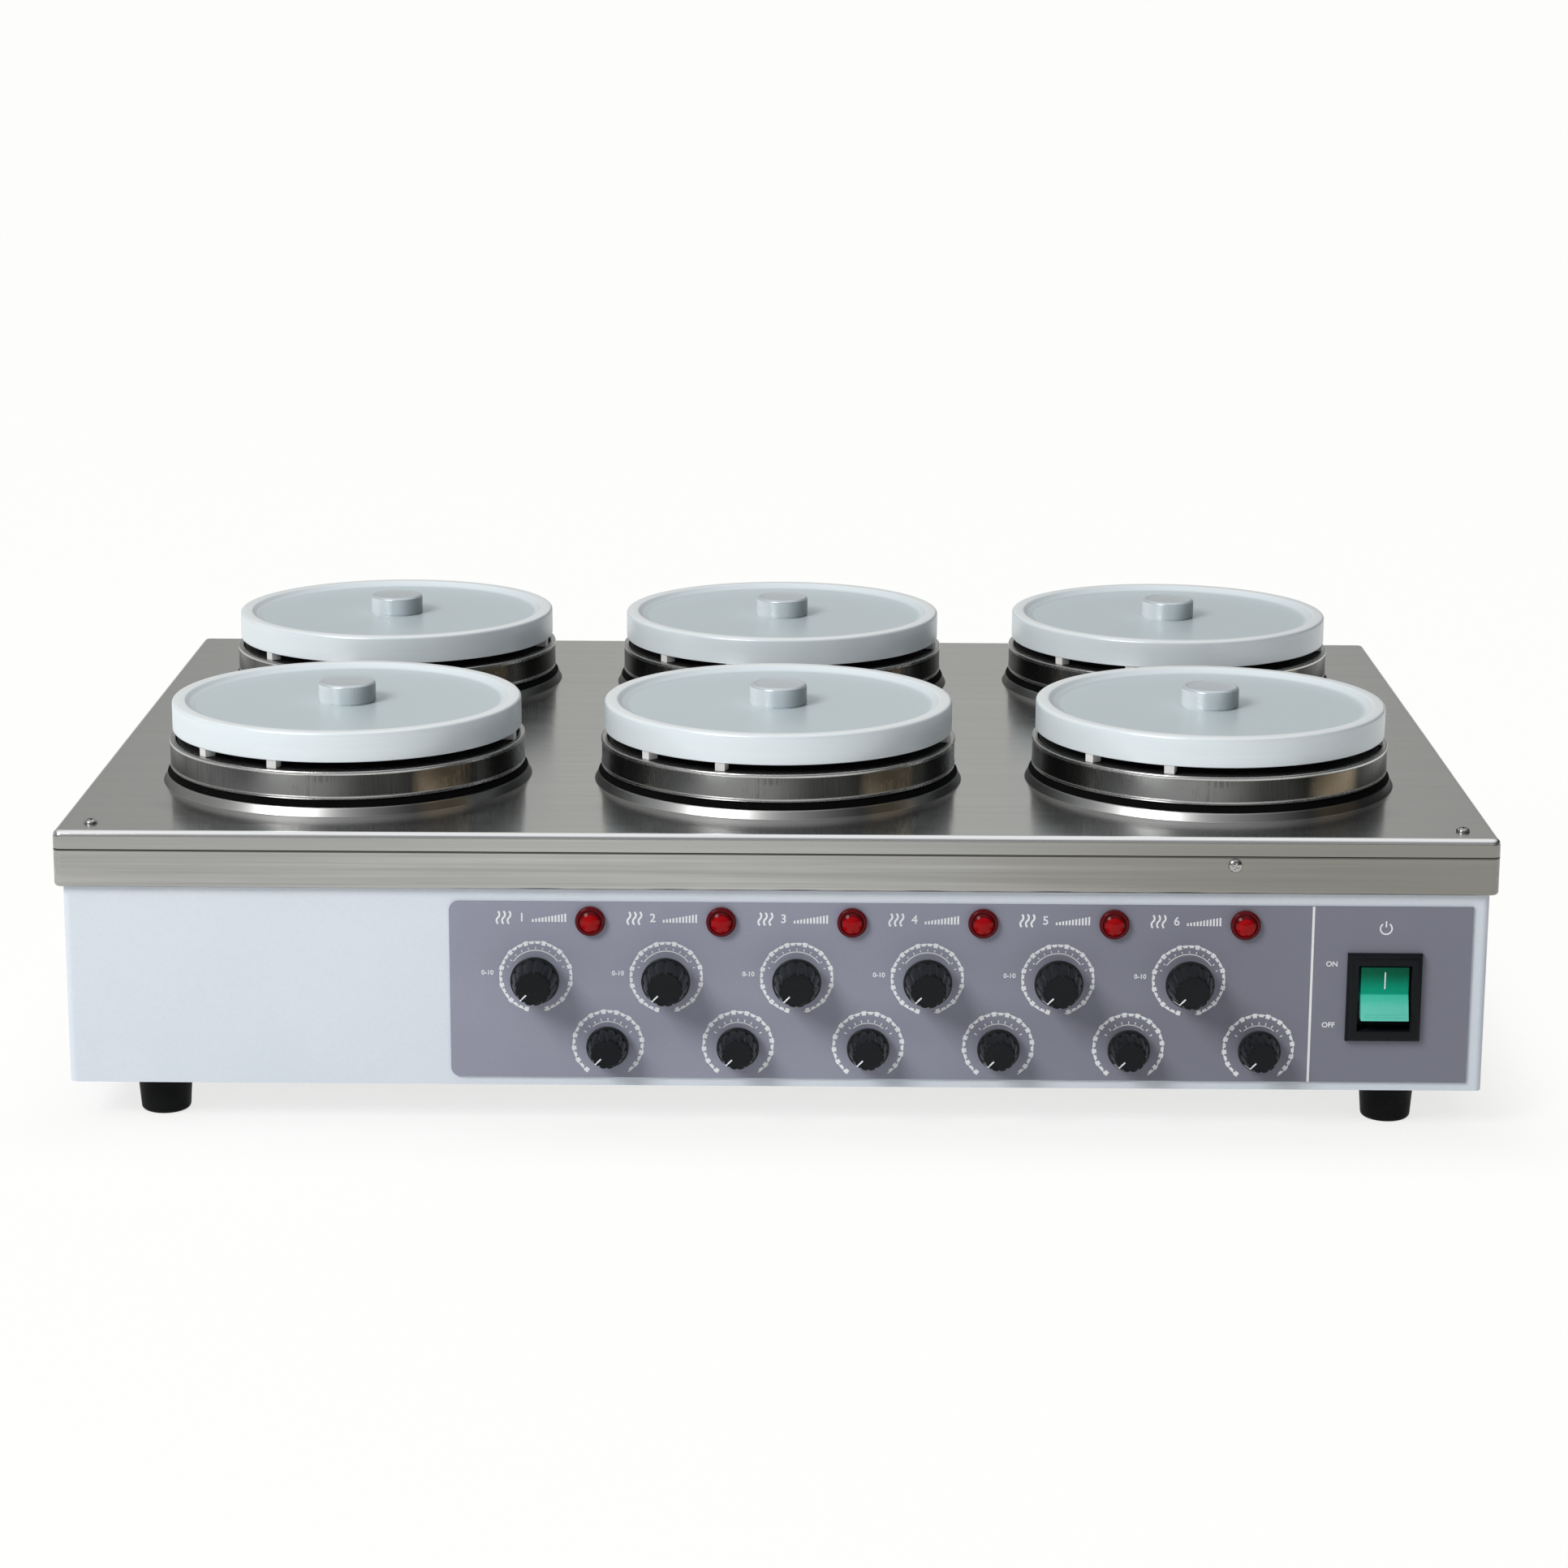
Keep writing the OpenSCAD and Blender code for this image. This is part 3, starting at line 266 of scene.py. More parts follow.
# Dim in front and on the right, bright behind, so that the deck mirrors a pale wall
def buildSky(world):
    s = studio
    tree = world.node_tree
    toward = splitAxes(addNode(tree, "TexCoord").outputs["Generated"])
    toRear = remap(toward["Y"], *s["rearSpan"])
    middle = remap(calc("ABSOLUTE", toward["X"]), *s["glowSpan"], 1.0, 0.0)
    low = remap(toward["Z"], *s["horizonSpan"], s["horizonShare"], 0.0)
    sky = layered(
        s["frontSky"], (toRear, s["rearSky"]), (times(toRear, middle), s["rearGlow"]),
        (times(toRear, low), s["horizonSky"]), (remap(toward["X"], *s["rightSpan"]), s["rightSky"]),
        (remap(toward["Z"], *s["zenithSpan"]), s["zenithSky"]))
    feed(tree.nodes["Background"], {"Color": sky})


# Pale paper that takes the shadow near the part and looks plain white further off
def buildFloor():
    bm = bmesh.new()
    bmesh.ops.create_grid(bm, x_segments=1, y_segments=1, size=studio["floorHalf"])
    mesh = asMesh(bm, "floor")
    floor = addObject("floor", mesh)
    paper, tree, shader = newFinish("floorPaper")
    feed(shader, {
        "Base Color": studio["floorColour"], "Roughness": studio["floorRough"], "Specular IOR Level": 0.0,
    })
    path = addNode(tree, "LightPath").outputs
    seen = calc("MAXIMUM", path["Is Camera Ray"], path["Is Glossy Ray"])
    seen = calc("MAXIMUM", seen, path["Is Transmission Ray"])
    white = addNode(tree, "Emission", {"Color": studio["floorWhite"]}).outputs[0]
    here = splitAxes(objectPlace(tree))
    past = [
        calc("MAXIMUM", minus(calc("ABSOLUTE", here[axis]), half), 0.0)
        for axis, half in zip("XY", studio["footprint"])
    ]
    away = distance(*past)
    share = times(seen, remap(away, *studio["floorReach"], *studio["floorGlow"]))
    both = addNode(tree, "MixShader", {0: share, 1: shader.outputs[0], 2: white}).outputs[0]
    feed(tree.nodes["Material Output"], {"Surface": both})
    mesh.materials.append(paper)


def buildStudio():
    scene = bpy.context.scene
    scene.view_settings.view_transform = "Standard"
    world = bpy.data.worlds.new("studioSky")
    world.use_nodes = True
    scene.world = world
    buildSky(world)
    addKeyLight()
    buildFloor()


shot = {
    "place": (12.9, deckMiddle - 1732.1, 513.9),
    "yaw": -0.36,
    "pitch": 13.44,
    "roll": 0.272,
    "lens": 87.51,
    "sensor": 36.0,
    "reach": 300.0,
}


def buildCamera():
    lens = bpy.data.cameras.new("photoCamera")
    lens.lens = shot["lens"]
    lens.sensor_width = shot["sensor"]
    lens.clip_end = shot["reach"]
    camera = addObject("photoCamera", lens)
    turn = rotation(-shot["yaw"], "Z") @ rotation(90 - shot["pitch"], "X") @ rotation(shot["roll"], "Z")
    camera.matrix_world = shift(*shot["place"]) @ turn
    bpy.context.scene.camera = camera


buildStudio()
buildCamera()
print("studio: sky, lamp, floor and camera")


# Distance from the nearest station's middle, a vector for marks that run round it, and the place seen from it
def makeStationPlace():
    group, enter, leave = newGroup(
        "stationPlace", {"Fine": 500.0, "Round": 2.0}, Radius="Float", Around="Vector", Local="Vector")
    here = splitAxes(objectPlace(group))
    halfColumn = layout["columnPitch"] / 2 * mm
    halfRow = layout["rowPitch"] / 2 * mm
    heightShare = 1.37
    x = calc("WRAP", here["X"], halfColumn, -halfColumn)
    y = calc("WRAP", minus(here["Y"], frontRow * mm), halfRow, -halfRow)
    z = minus(here["Z"], deckTop * mm)
    radius = distance(x, y)
    spoke = calc("DIVIDE", enter["Round"], calc("MAXIMUM", radius, mm))
    # radius and height together, so that flat and upright faces both get lines
    level = plus(radius, times(z, heightShare))
    turns = (times(x, spoke), times(y, spoke), times(level, enter["Fine"]))
    around = addNode(group, "CombineXYZ", dict(enumerate(turns))).outputs[0]
    local = addNode(group, "CombineXYZ", {0: x, 1: y, 2: z}).outputs[0]
    feed(leave, {"Radius": radius, "Around": around, "Local": local})
    return group


# Streaks of a brushed or turned metal, along whichever way the vector is stretched
def makeBrushedGrain():
    group, enter, leave = newGroup("brushedGrain", {"Vector": (0, 0, 0)}, Streak="Float", Height="Float")
    fine = noise(enter["Vector"], scale=1.0, detail=4.0, rough=0.65)
    broad = noise(enter["Vector"], scale=0.17)
    streak = blended(fine, broad, share=0.4, band=(0.32, 0.68))
    feed(leave, {"Streak": streak, "Height": fine})
    return group


# Soft cloudy patches of handling and cleaning
def makeSmudge():
    group, enter, leave = newGroup("handledSmudge", {"Scale": 12.0}, Smudge="Float")
    place = objectPlace(group)
    cloud = noise(place, enter["Scale"], detail=5.0, rough=0.6)
    wipe = noise(scaled(place, (6, 40, 40)), scale=1.0, detail=3.0)
    feed(leave, {"Smudge": blended(cloud, wipe, share=0.3, band=(0.35, 0.68))})
    return group


# Fine pebble of a coated or moulded surface, with a slow drift of tone
def makeCoatGrain():
    group, enter, leave = newGroup("coatGrain", {"Scale": 900.0}, Tone="Float", Height="Float")
    place = objectPlace(group)
    pebble = noise(place, enter["Scale"])
    drift = noise(place, scale=18.0, detail=3.0, rough=0.55)
    tone = blended(pebble, drift, share=0.55, band=(0.3, 0.7))
    feed(leave, {"Tone": tone, "Height": pebble})
    return group


# Sparse pale dots of dust and tiny nicks
def makeSpecks():
    group, enter, leave = newGroup("dustSpecks", {"Scale": 300.0, "Size": 0.16}, Mask="Float")
    place = objectPlace(group)
    cells = addNode(group, "TexVoronoi", {"Vector": place, "Scale": enter["Scale"]}).outputs
    dot = calc("LESS_THAN", cells["Distance"], enter["Size"])
    some = remap(noise(place, scale=45.0), 0.55, 0.75)
    feed(leave, {"Mask": times(dot, some)})
    return group


stationPlace = makeStationPlace()
brushedGrain = makeBrushedGrain()
handledSmudge = makeSmudge()
coatGrain = makeCoatGrain()
dustSpecks = makeSpecks()


def smudgeOn(tree, look):
    return useGroup(tree, handledSmudge, {"Scale": look["smudgeScale"]})["Smudge"]


# Tones of the folded sheets, with painted shade and a painted highlight; drops are in mm below the deck's top
deckFold = {
    # shadeAhead is painted shade in front of each collar, for the reflection of the seal and ring
    "shadeAhead": (0.15, 0.15, 0.15), "aheadRadius": (88.0, 103.0), "aheadFacing": (-0.8, -0.5), "aheadShare": 0.8,
    # lip is painted shade on the folded lip, deeper towards both ends
    "lip": (0.235, 0.23, 0.205), "lipDrop": (2.2, 1.9), "lipShare": 0.85, "leftEnd": (-290.0, -90.0),
    "leftShare": 0.3, "rightEnd": (-30.0, 240.0),
    # line is a painted highlight along the deck's front fold
    "line": (0.93, 0.93, 0.92), "lineLow": (2.2, 2.0), "lineHigh": (0.06, -0.04),
}
# on the skirt, lip is painted shade towards both ends and line is the dark seam
skirtFold = dict(
    deckFold, aheadShare=0.0, lip=(0.245, 0.237, 0.21), lipDrop=(3.3, 3.0),
    line=(0.10, 0.098, 0.09), lineLow=(8.7, 8.5), lineHigh=(7.9, 7.8))


# Painted shade in front of each collar for the reflection of the seal and ring, painted shade towards both
# ends of the lip, a painted highlight along the deck's fold, and a dark line along the skirt's seam
def foldTones(tree, fold, colour):
    here = splitAxes(objectPlace(tree))

    def byDrop(drops, *shares):
        return remap(here["Z"], *((deckTop - drop) * mm for drop in drops), *shares)

    def byX(ends, *shares):
        return remap(here["X"], *(end * mm for end in ends), *shares)

    if fold["aheadShare"]:
        # painted shade in front of each collar, for the reflection of the dark seal and ring
        station = useGroup(tree, stationPlace, {})
        facing = calc("DIVIDE", splitAxes(station["Local"])["Y"], station["Radius"])
        radii = (radius * mm for radius in fold["aheadRadius"])
        paintedShade = remap(station["Radius"], *radii, fold["aheadShare"], 0.0)
        paintedShade = times(paintedShade, remap(facing, *fold["aheadFacing"], 1.0, 0.0))
        colour = layered(colour, (paintedShade, fold["shadeAhead"]))
    # painted shade on the lip, deeper towards both ends
    toEnds = calc("MAXIMUM", byX(fold["leftEnd"], fold["leftShare"], 0.0), byX(fold["rightEnd"]))
    lipShade = times(byDrop(fold["lipDrop"], fold["lipShare"], 0.0), toEnds)
    # a painted highlight along the deck's fold; on the skirt, a dark line along its seam
    foldHighlightAndSeam = times(byDrop(fold["lineLow"]), byDrop(fold["lineHigh"], 1.0, 0.0))
    return layered(colour, (lipShade, fold["lip"]), (foldHighlightAndSeam, fold["line"]))


steelLook = {
    "stretch": (7.0, 700.0, 700.0), "fine": None, "round": 2.0,
    "dark": (0.395, 0.395, 0.385), "light": (0.445, 0.445, 0.432), "film": (0.36, 0.357, 0.345),
    "smudge": 0.25, "smudgeScale": 5.0, "smudgeRough": 0.03, "rough": (0.15, 0.20), "smear": 0.0,
    "fold": None, "bump": 0.035, "bumpDepth": 0.06,
}


# Straight streaks or, where fine is given, streaks round the stations; smear draws reflections out
def brushedMetal(name, **changes):
    look = dict(steelLook, **changes)
    finish, tree, shader = newFinish(name)
    if look["fine"]:
        vector = useGroup(tree, stationPlace, {"Fine": look["fine"], "Round": look["round"]})["Around"]
    else:
        vector = scaled(objectPlace(tree), look["stretch"])
    grain = useGroup(tree, brushedGrain, {"Vector": vector})
    smudge = smudgeOn(tree, look)
    film = times(smudge, look["smudge"])
    colour = layered(look["dark"], (grain["Streak"], look["light"]), (film, look["film"]))
    if look["fold"]:
        colour = foldTones(tree, look["fold"], colour)
    smooth, coarse = look["rough"]
    rough = linear(grain["Streak"], coarse, smooth)
    rough = plus(rough, times(smudge, look["smudgeRough"]))
    feed(shader, {"Base Color": colour, "Roughness": rough, "Metallic": 1.0})
    if look["smear"]:
        across = addNode(tree, "Tangent", direction_type="RADIAL", axis="X").outputs[0]
        feed(shader, {"Anisotropic": look["smear"], "Tangent": across})
    bumpInto(shader, grain["Height"], look)
    return finish


plasticLook = {
    "grain": 1400.0, "dark": (0.006, 0.007, 0.009), "light": (0.011, 0.012, 0.014),
    "dust": (0.16, 0.16, 0.16), "speck": 0.2, "speckScale": 500.0, "speckSize": 0.12,
    "smudgeScale": 60.0, "rough": (0.28, 0.40), "shine": 0.12, "bump": 0.10, "bumpDepth": 0.05,
    "shade": None, "shadeSpan": (0.0, 210.0), "shadeShare": 0.7,
    "face": None, "faceEdge": (0.3, 0.7), "gloss": 0.25, "glossRough": 0.06,
}


# Paint, plastic, rubber or ceramic: two tones, pebble, smudges and specks
def coated(name, **changes):
    look = dict(plasticLook, **changes)
    finish, tree, shader = newFinish(name)
    grain = useGroup(tree, coatGrain, {"Scale": look["grain"]})
    smudge = smudgeOn(tree, look)
    specks = useGroup(tree, dustSpecks, {"Scale": look["speckScale"], "Size": look["speckSize"]})["Mask"]
    dust = times(specks, look["speck"])
    colour = layered(look["dark"], (grain["Tone"], look["light"]), (dust, look["dust"]))
    if look["shade"]:
        # painted shade, deeper towards the right
        ends = (end * mm for end in look["shadeSpan"])
        across = splitAxes(objectPlace(tree))["X"]
        colour = layered(colour, (remap(across, *ends, 0.0, look["shadeShare"]), look["shade"]))
    if look["face"]:
        # polished sides behind a matt front face
        ends = ((look["face"] + edge) * mm for edge in look["faceEdge"])
        side = remap(splitAxes(objectPlace(tree))["Y"], *ends, 0.0, look["gloss"])
        feed(shader, {"Coat Weight": side, "Coat Roughness": look["glossRough"]})
    rough = linear(smudge, *look["rough"])
    feed(shader, {"Base Color": colour, "Roughness": rough, "Specular IOR Level": look["shine"]})
    bumpInto(shader, grain["Height"], look)
    return finish


finishes = {
    "deck": brushedMetal("deckSteel", smear=0.65, fold=deckFold),
    "skirt": brushedMetal(
        "skirtSteel", stretch=(5.0, 500.0, 500.0), dark=(0.405, 0.405, 0.395), light=(0.565, 0.565, 0.555),
        film=(0.30, 0.29, 0.27), smudge=0.3, smudgeScale=3.0, rough=(0.24, 0.34), smear=0.5, bump=0.06,
        fold=skirtFold),
    "screw": brushedMetal(
        "screwSteel", stretch=(300.0, 300.0, 300.0), dark=(0.40, 0.40, 0.39), light=(0.52, 0.52, 0.51)),
    "heater": brushedMetal("heaterSteel", fine=420.0, dark=(0.25, 0.23, 0.21), light=(0.38, 0.36, 0.33)),
    "motor": brushedMetal("motorSteel", fine=300.0),
    "bracket": brushedMetal("bracketSteel", stretch=(60.0, 60.0, 60.0)),
    "pot": brushedMetal("potSteel", stretch=(120.0, 120.0, 120.0)),
    "rotor": brushedMetal(
        "rotorAluminium", stretch=(200.0, 60.0, 60.0), dark=(0.60, 0.61, 0.62), light=(0.74, 0.75, 0.76)),
    "pin": brushedMetal(
        "pinBrass", stretch=(300.0, 60.0, 300.0), dark=(0.60, 0.46, 0.20), light=(0.76, 0.60, 0.30),
        film=(0.45, 0.33, 0.16)),
    "paint": coated(
        "bodyPaint", grain=700.0, dark=(0.68, 0.735, 0.80), light=(0.72, 0.77, 0.83), dust=(0.55, 0.55, 0.56),
        speckScale=220.0, speckSize=0.07, smudgeScale=10.0, rough=(0.36, 0.46), shine=0.4, bumpDepth=0.08),
    # the panel's shade is painted shade, deeper towards its right end
    "panel": coated(
        "panelFilm", grain=1800.0, dark=(0.28, 0.287, 0.357), light=(0.315, 0.322, 0.397),
        dust=(0.50, 0.50, 0.53), speck=0.25, speckScale=260.0, speckSize=0.10, smudgeScale=14.0,
        rough=(0.46, 0.58), shine=0.2, bump=0.12, shade=(0.175, 0.178, 0.215)),
    "switch": coated("switchBlack", rough=(0.24, 0.36), shine=0.09, speck=0.12),
    "inlet": coated("inletBlack", rough=(0.40, 0.52)),
    "seal": coated(
        "sealRubber", dark=(0.0015, 0.0015, 0.0015), light=(0.004, 0.004, 0.004), rough=(0.6, 0.8),
        shine=0.03, bump=0.3, speck=0.3, speckScale=420.0),
    "foot": coated(
        "footRubber", dark=(0.004, 0.0045, 0.005), light=(0.009, 0.009, 0.010), rough=(0.45, 0.62),
        shine=0.07, bump=0.2, speck=0.3),
    "plate": coated(
        "hotplateBlack", grain=600.0, dark=(0.006, 0.006, 0.006), light=(0.014, 0.013, 0.012),
        rough=(0.5, 0.7), shine=0.2, bump=0.3, bumpDepth=0.12),
    "pad": coated(
        "padWhite", grain=900.0, dark=(0.66, 0.66, 0.64), light=(0.80, 0.80, 0.78), dust=(0.5, 0.48, 0.45),
        rough=(0.5, 0.7), bump=0.35, bumpDepth=0.1),
    "regulator": coated(
        "regulatorPlastic", dark=(0.70, 0.68, 0.62), light=(0.78, 0.76, 0.70), rough=(0.4, 0.55)),
    "insulation": coated(
        "insulationBoard", grain=500.0, dark=(0.62, 0.60, 0.55), light=(0.78, 0.76, 0.70), rough=(0.8, 0.95),
        bump=0.5, bumpDepth=0.2),
    "board": coated("boardGreen", dark=(0.01, 0.075, 0.03), light=(0.02, 0.11, 0.05), rough=(0.3, 0.5)),
    "print": coated(
        "printWhite", grain=2500.0, dark=(0.74, 0.74, 0.77), light=(0.95, 0.95, 0.96),
        dust=(0.34, 0.34, 0.38), speck=0.5, speckScale=900.0, speckSize=0.25, rough=(0.45, 0.6), shine=0.3),
}


# Lowest and highest edge of a solid above the deck, in mm
def spanOnDeck(node):
    return tuple(z - deckTop for z in span(node, 2))


lidLow, lidHigh = spanOnDeck("lid_1")
lidKnobLow, lidKnobHigh = spanOnDeck("lid_knob_1")
lidKnobChamfer = 0.9
satinLook = {
    # crown is painted light on the lid's flat top
    "rim": (0.80, 0.87, 0.90), "crown": (0.94, 0.98, 0.99), "crownDepth": 0.5,
    "dish": (0.605, 0.69, 0.715), "dishEdge": (66.2, 68.4),  # radii in mm, middle and rim
    "line": (0.63, 0.69, 0.715), "lineShare": 0.18, "fine": 900.0, "round": 1.5, "smudgeScale": 15.0,
    "rough": (0.30, 0.34), "metal": 0.12, "bump": 0.03, "bumpDepth": 0.03,
    "sideTop": None, "sideEdge": 0.2, "sideReach": 12.5,
    "sidePaintedLight": (0.95, 0.98, 0.99), "sidePaintedShade": (0.25, 0.275, 0.28),
}


# Satin aluminium with fine turned lines: greyer in a dished middle, painted light on the flat top, and a side
# with painted light to the left and painted shade to the right
def satinAluminium(name, **changes):
    look = dict(satinLook, **changes)
    finish, tree, shader = newFinish(name)
    place = useGroup(tree, stationPlace, {"Fine": look["fine"], "Round": look["round"]})
    grain = useGroup(tree, brushedGrain, {"Vector": place["Around"]})
    smudge = smudgeOn(tree, look)
    here = splitAxes(place["Local"])
    inDish = remap(place["Radius"], *(edge * mm for edge in look["dishEdge"]), 1.0, 0.0)
    # painted light on the flat top face
    paintedTopLight = remap(here["Z"], (lidHigh - look["crownDepth"]) * mm, lidHigh * mm)
    lines = times(grain["Streak"], look["lineShare"])
    colour = layered(look["rim"], (paintedTopLight, look["crown"]), (inDish, look["dish"]), (lines, look["line"]))
    # painted light on the left of the side and painted shade on its right
    if look["sideTop"]:
        top, reach = look["sideTop"] * mm, look["sideReach"] * mm
        onSide = remap(here["Z"], top - look["sideEdge"] * mm, top, 1.0, 0.0)
        pale = times(onSide, remap(here["X"], -reach, 0.0, 1.0, 0.0))
        deep = times(onSide, remap(here["X"], 0.0, reach))
        colour = layered(colour, (pale, look["sidePaintedLight"]), (deep, look["sidePaintedShade"]))
    rough = linear(smudge, *look["rough"])
    feed(shader, {"Base Color": colour, "Roughness": rough, "Metallic": look["metal"]})
    bumpInto(shader, grain["Height"], look)
    return finish


finishes["lid"] = satinAluminium("lidSatin")
# the lid knob's side gets painted light on the left and painted shade on the right
finishes["lidKnob"] = satinAluminium(
    "lidKnobSatin", dish=(0.64, 0.70, 0.73), line=(0.56, 0.61, 0.63), lineShare=0.12, fine=3000.0, metal=0.4,
    rough=(0.26, 0.32), bump=0.004, sideTop=lidKnobHigh - lidKnobChamfer)

ringLow, ringHigh = spanOnDeck("trim_rings")
ringLook = {
    # bead is a painted highlight along the rolled edges
    "band": (0.050, 0.050, 0.047), "bead": (0.50, 0.50, 0.49), "beadHeight": 1.7, "beadEdge": 0.15,
    # painted highlight, left of the front
    "worn": (0.225, 0.23, 0.227), "wornAngle": -24.0, "wornSpan": (0.80, 1.0), "markDepth": 0.35,
    # painted warm reflection, right of the front
    "warm": (0.56, 0.45, 0.31), "warmAngle": 38.0, "warmSpan": (0.978, 1.0), "warmShare": 0.8,
    "lines": (1500.0, 1500.0, 45.0), "lineBand": (0.40, 0.66), "patches": (28.0, 28.0, 60.0),
    "patchBand": (0.40, 0.62), "rough": (0.24, 0.34), "bump": 0.04, "bumpDepth": 0.05,
}


# Dark polished band, with a painted highlight on both beads, fine upright marks, a painted highlight left of
# the front and a painted warm reflection right of it
def ringSteel(name, **changes):
    look = dict(ringLook, **changes)
    finish, tree, shader = newFinish(name)
    place = useGroup(tree, stationPlace, {})
    here = splitAxes(place["Local"])
    upright = noise(scaled(place["Local"], look["lines"]), scale=1.0, rough=0.6)
    patchy = noise(scaled(place["Local"], look["patches"]), scale=1.0, detail=3.0, rough=0.6)
    marks = times(remap(upright, *look["lineBand"]), remap(patchy, *look["patchBand"]))

    # a stretch of the ring, by its angle from the front
    def stretch(angle, width):
        turn = math.radians(angle)
        toward = minus(times(here["X"], math.sin(turn)), times(here["Y"], math.cos(turn)))
        return remap(calc("DIVIDE", toward, place["Radius"]), *width)

    worn = times(stretch(look["wornAngle"], look["wornSpan"]),
                 remap(marks, 0.0, 1.0, 1.0, 1.0 - look["markDepth"]))
    warm = times(stretch(look["warmAngle"], look["warmSpan"]), look["warmShare"])
    colour = layered(look["band"], (worn, look["worn"]), (warm, look["warm"]))
    # painted highlight along both beads
    if look["beadHeight"]:
        edge = look["beadEdge"] * mm
        beadStart = ((ringHigh - ringLow) / 2 - look["beadHeight"]) * mm
        fromMiddle = calc("ABSOLUTE", minus(here["Z"], (ringLow + ringHigh) / 2 * mm))
        bead = remap(fromMiddle, beadStart - edge, beadStart + edge)
        colour = layered(colour, (bead, look["bead"]))
        upright = times(upright, minus(1.0, bead))
    rough = remap(marks, 0.0, 1.0, *look["rough"])
    feed(shader, {"Base Color": colour, "Roughness": rough, "Metallic": 1.0})
    bumpInto(shader, upright, look)
    return finish


finishes["ring"] = ringSteel("ringSteel")
# the collar gets the same painted highlight and painted warm reflection, without beads
finishes["collar"] = ringSteel(
    "collarSteel", band=(0.13, 0.13, 0.127), worn=(0.46, 0.46, 0.45), wornSpan=(0.55, 0.97), markDepth=0.1,
    warm=(0.34, 0.28, 0.20), beadHeight=0, rough=(0.36, 0.42), bump=0.02)

lensLook = {
    # deep is painted shade round the rim, and the bright middle, the lamp's lit window, sits low, leaving
    # painted shade at the top of the dome
    "bright": (0.32, 0.003, 0.005), "deep": (0.088, 0.003, 0.005), "glow": 0.10, "shine": 0.12,
    "window": (3.6, 4.3), "drop": 0.75,  # radii in mm where the bright middle ends, and how low it sits
    "cloudScale": 500.0, "cloudBand": (0.2, 0.7), "cloudLow": 0.7, "roughBand": (0.3, 0.7),
    "rough": (0.05, 0.09),
}


# Tinted plastic with a little light of its own
def glowInto(shader, look, colour, rough):
    feed(shader, {
        "Base Color": colour, "Emission Color": colour, "Emission Strength": look["glow"],
        "Roughness": rough, "Specular IOR Level": look["shine"],
    })


def redLens(name):
    look = lensLook
    finish, tree, shader = newFinish(name)
    here = splitAxes(objectPlace(tree))
    half = layout["controlPitch"] / 2 * mm
    lampX, lampZ = layout["lamp"]
    x = calc("WRAP", minus(here["X"], lampX * mm), half, -half)
    z = minus(here["Z"], (lampZ - look["drop"]) * mm)
    # lit window in the middle, with painted shade round the rim and at the top of the dome
    middle = remap(distance(x, z), *(radius * mm for radius in look["window"]), 1.0, 0.0)
    cloud = noise(objectPlace(tree), look["cloudScale"], detail=3.0, rough=0.6)
    middle = times(middle, remap(cloud, *look["cloudBand"], look["cloudLow"], 1.0))
    colour = layered(look["deep"], (middle, look["bright"]))
    glowInto(shader, look, colour, remap(cloud, *look["roughBand"], *look["rough"]))
    return finish


finishes["lamp"] = redLens("lampRed")

rockerLook = {
    # the tones by height are painted shade on the upper half and painted light on the lower half
    "top": (0.001, 0.075, 0.035), "upper": (0.003, 0.29, 0.175), "lower": (0.06, 0.54, 0.39),
    "foot": (0.14, 0.61, 0.49), "levels": (54.6, 60.0, 61.0, 70.6),  # heights in mm where the tones change
    "grain": 1500.0, "grainShare": 0.15, "smudgeScale": 120.0, "rough": (0.20, 0.32), "glow": 0.05,
    "shine": 0.1, "bump": 0.06, "bumpDepth": 0.05,
}


def greenRocker(name):
    look = rockerLook
    finish, tree, shader = newFinish(name)
    height = splitAxes(objectPlace(tree))["Z"]
    foot, low, high, top = (z * mm for z in look["levels"])
    grain = useGroup(tree, coatGrain, {"Scale": look["grain"]})
    # painted shade on the upper half, darkest at the top, and painted light on the lower half, palest at the
    # foot
    litLowerHalf = layered(look["foot"], (remap(height, foot, low), look["lower"]))
    shadedUpperHalf = layered(look["upper"], (remap(height, high, top), look["top"]))
    speckle = times(grain["Tone"], look["grainShare"])
    colour = layered(litLowerHalf, (remap(height, low, high), shadedUpperHalf), (speckle, look["upper"]))
    glowInto(shader, look, colour, remap(smudgeOn(tree, look), 0.0, 1.0, *look["rough"]))
    bumpInto(shader, grain["Height"], look)
    return finish


finishes["rocker"] = greenRocker("rockerGreen")
print("finishes:", len(finishes))

# Solids that stay as they are and only get a finish
dressed = {
    "housing_shell": "paint", "base_plate": "paint", "top_deck": "deck", "deck_skirt": "skirt",
    "control_panel": "panel", "rubber_feet": "foot", "foot_screws": "screw",
    "hotplates": "plate", "heating_elements": "heater", "insulation_discs": "insulation",
    "stirrer_motors": "motor", "motor_brackets": "bracket", "heat_regulators": "regulator",
    "speed_potentiometers": "pot", "mains_inlet": "inlet", "inlet_pins": "pin", "control_board": "board",
}
for station in range(1, stationCount + 1):
    dressed["lid_pads_%d" % station] = "pad"
    dressed["stir_rotor_%d" % station] = "rotor"
for name, key in dressed.items():
    for materialSlot in nodes[name].material_slots:
        materialSlot.material = finishes[key]
print("dressed:", len(dressed), "solids")

weld = 1e-7  # in metres


# A mesh on its body, in place of a solid where one is named
def addPiece(name, bm, key, body, node=None, crease=32.0):
    bmesh.ops.remove_doubles(bm, verts=bm.verts, dist=weld)
    bmesh.ops.recalc_face_normals(bm, faces=bm.faces)
    mesh = asMesh(bm, name)
    mesh.shade_smooth()
    mesh.set_sharp_from_angle(angle=math.radians(crease))
    mesh.materials.append(finishes[key])
    piece = addObject(name, mesh)
    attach(piece, body)
    if node:
        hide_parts(node)


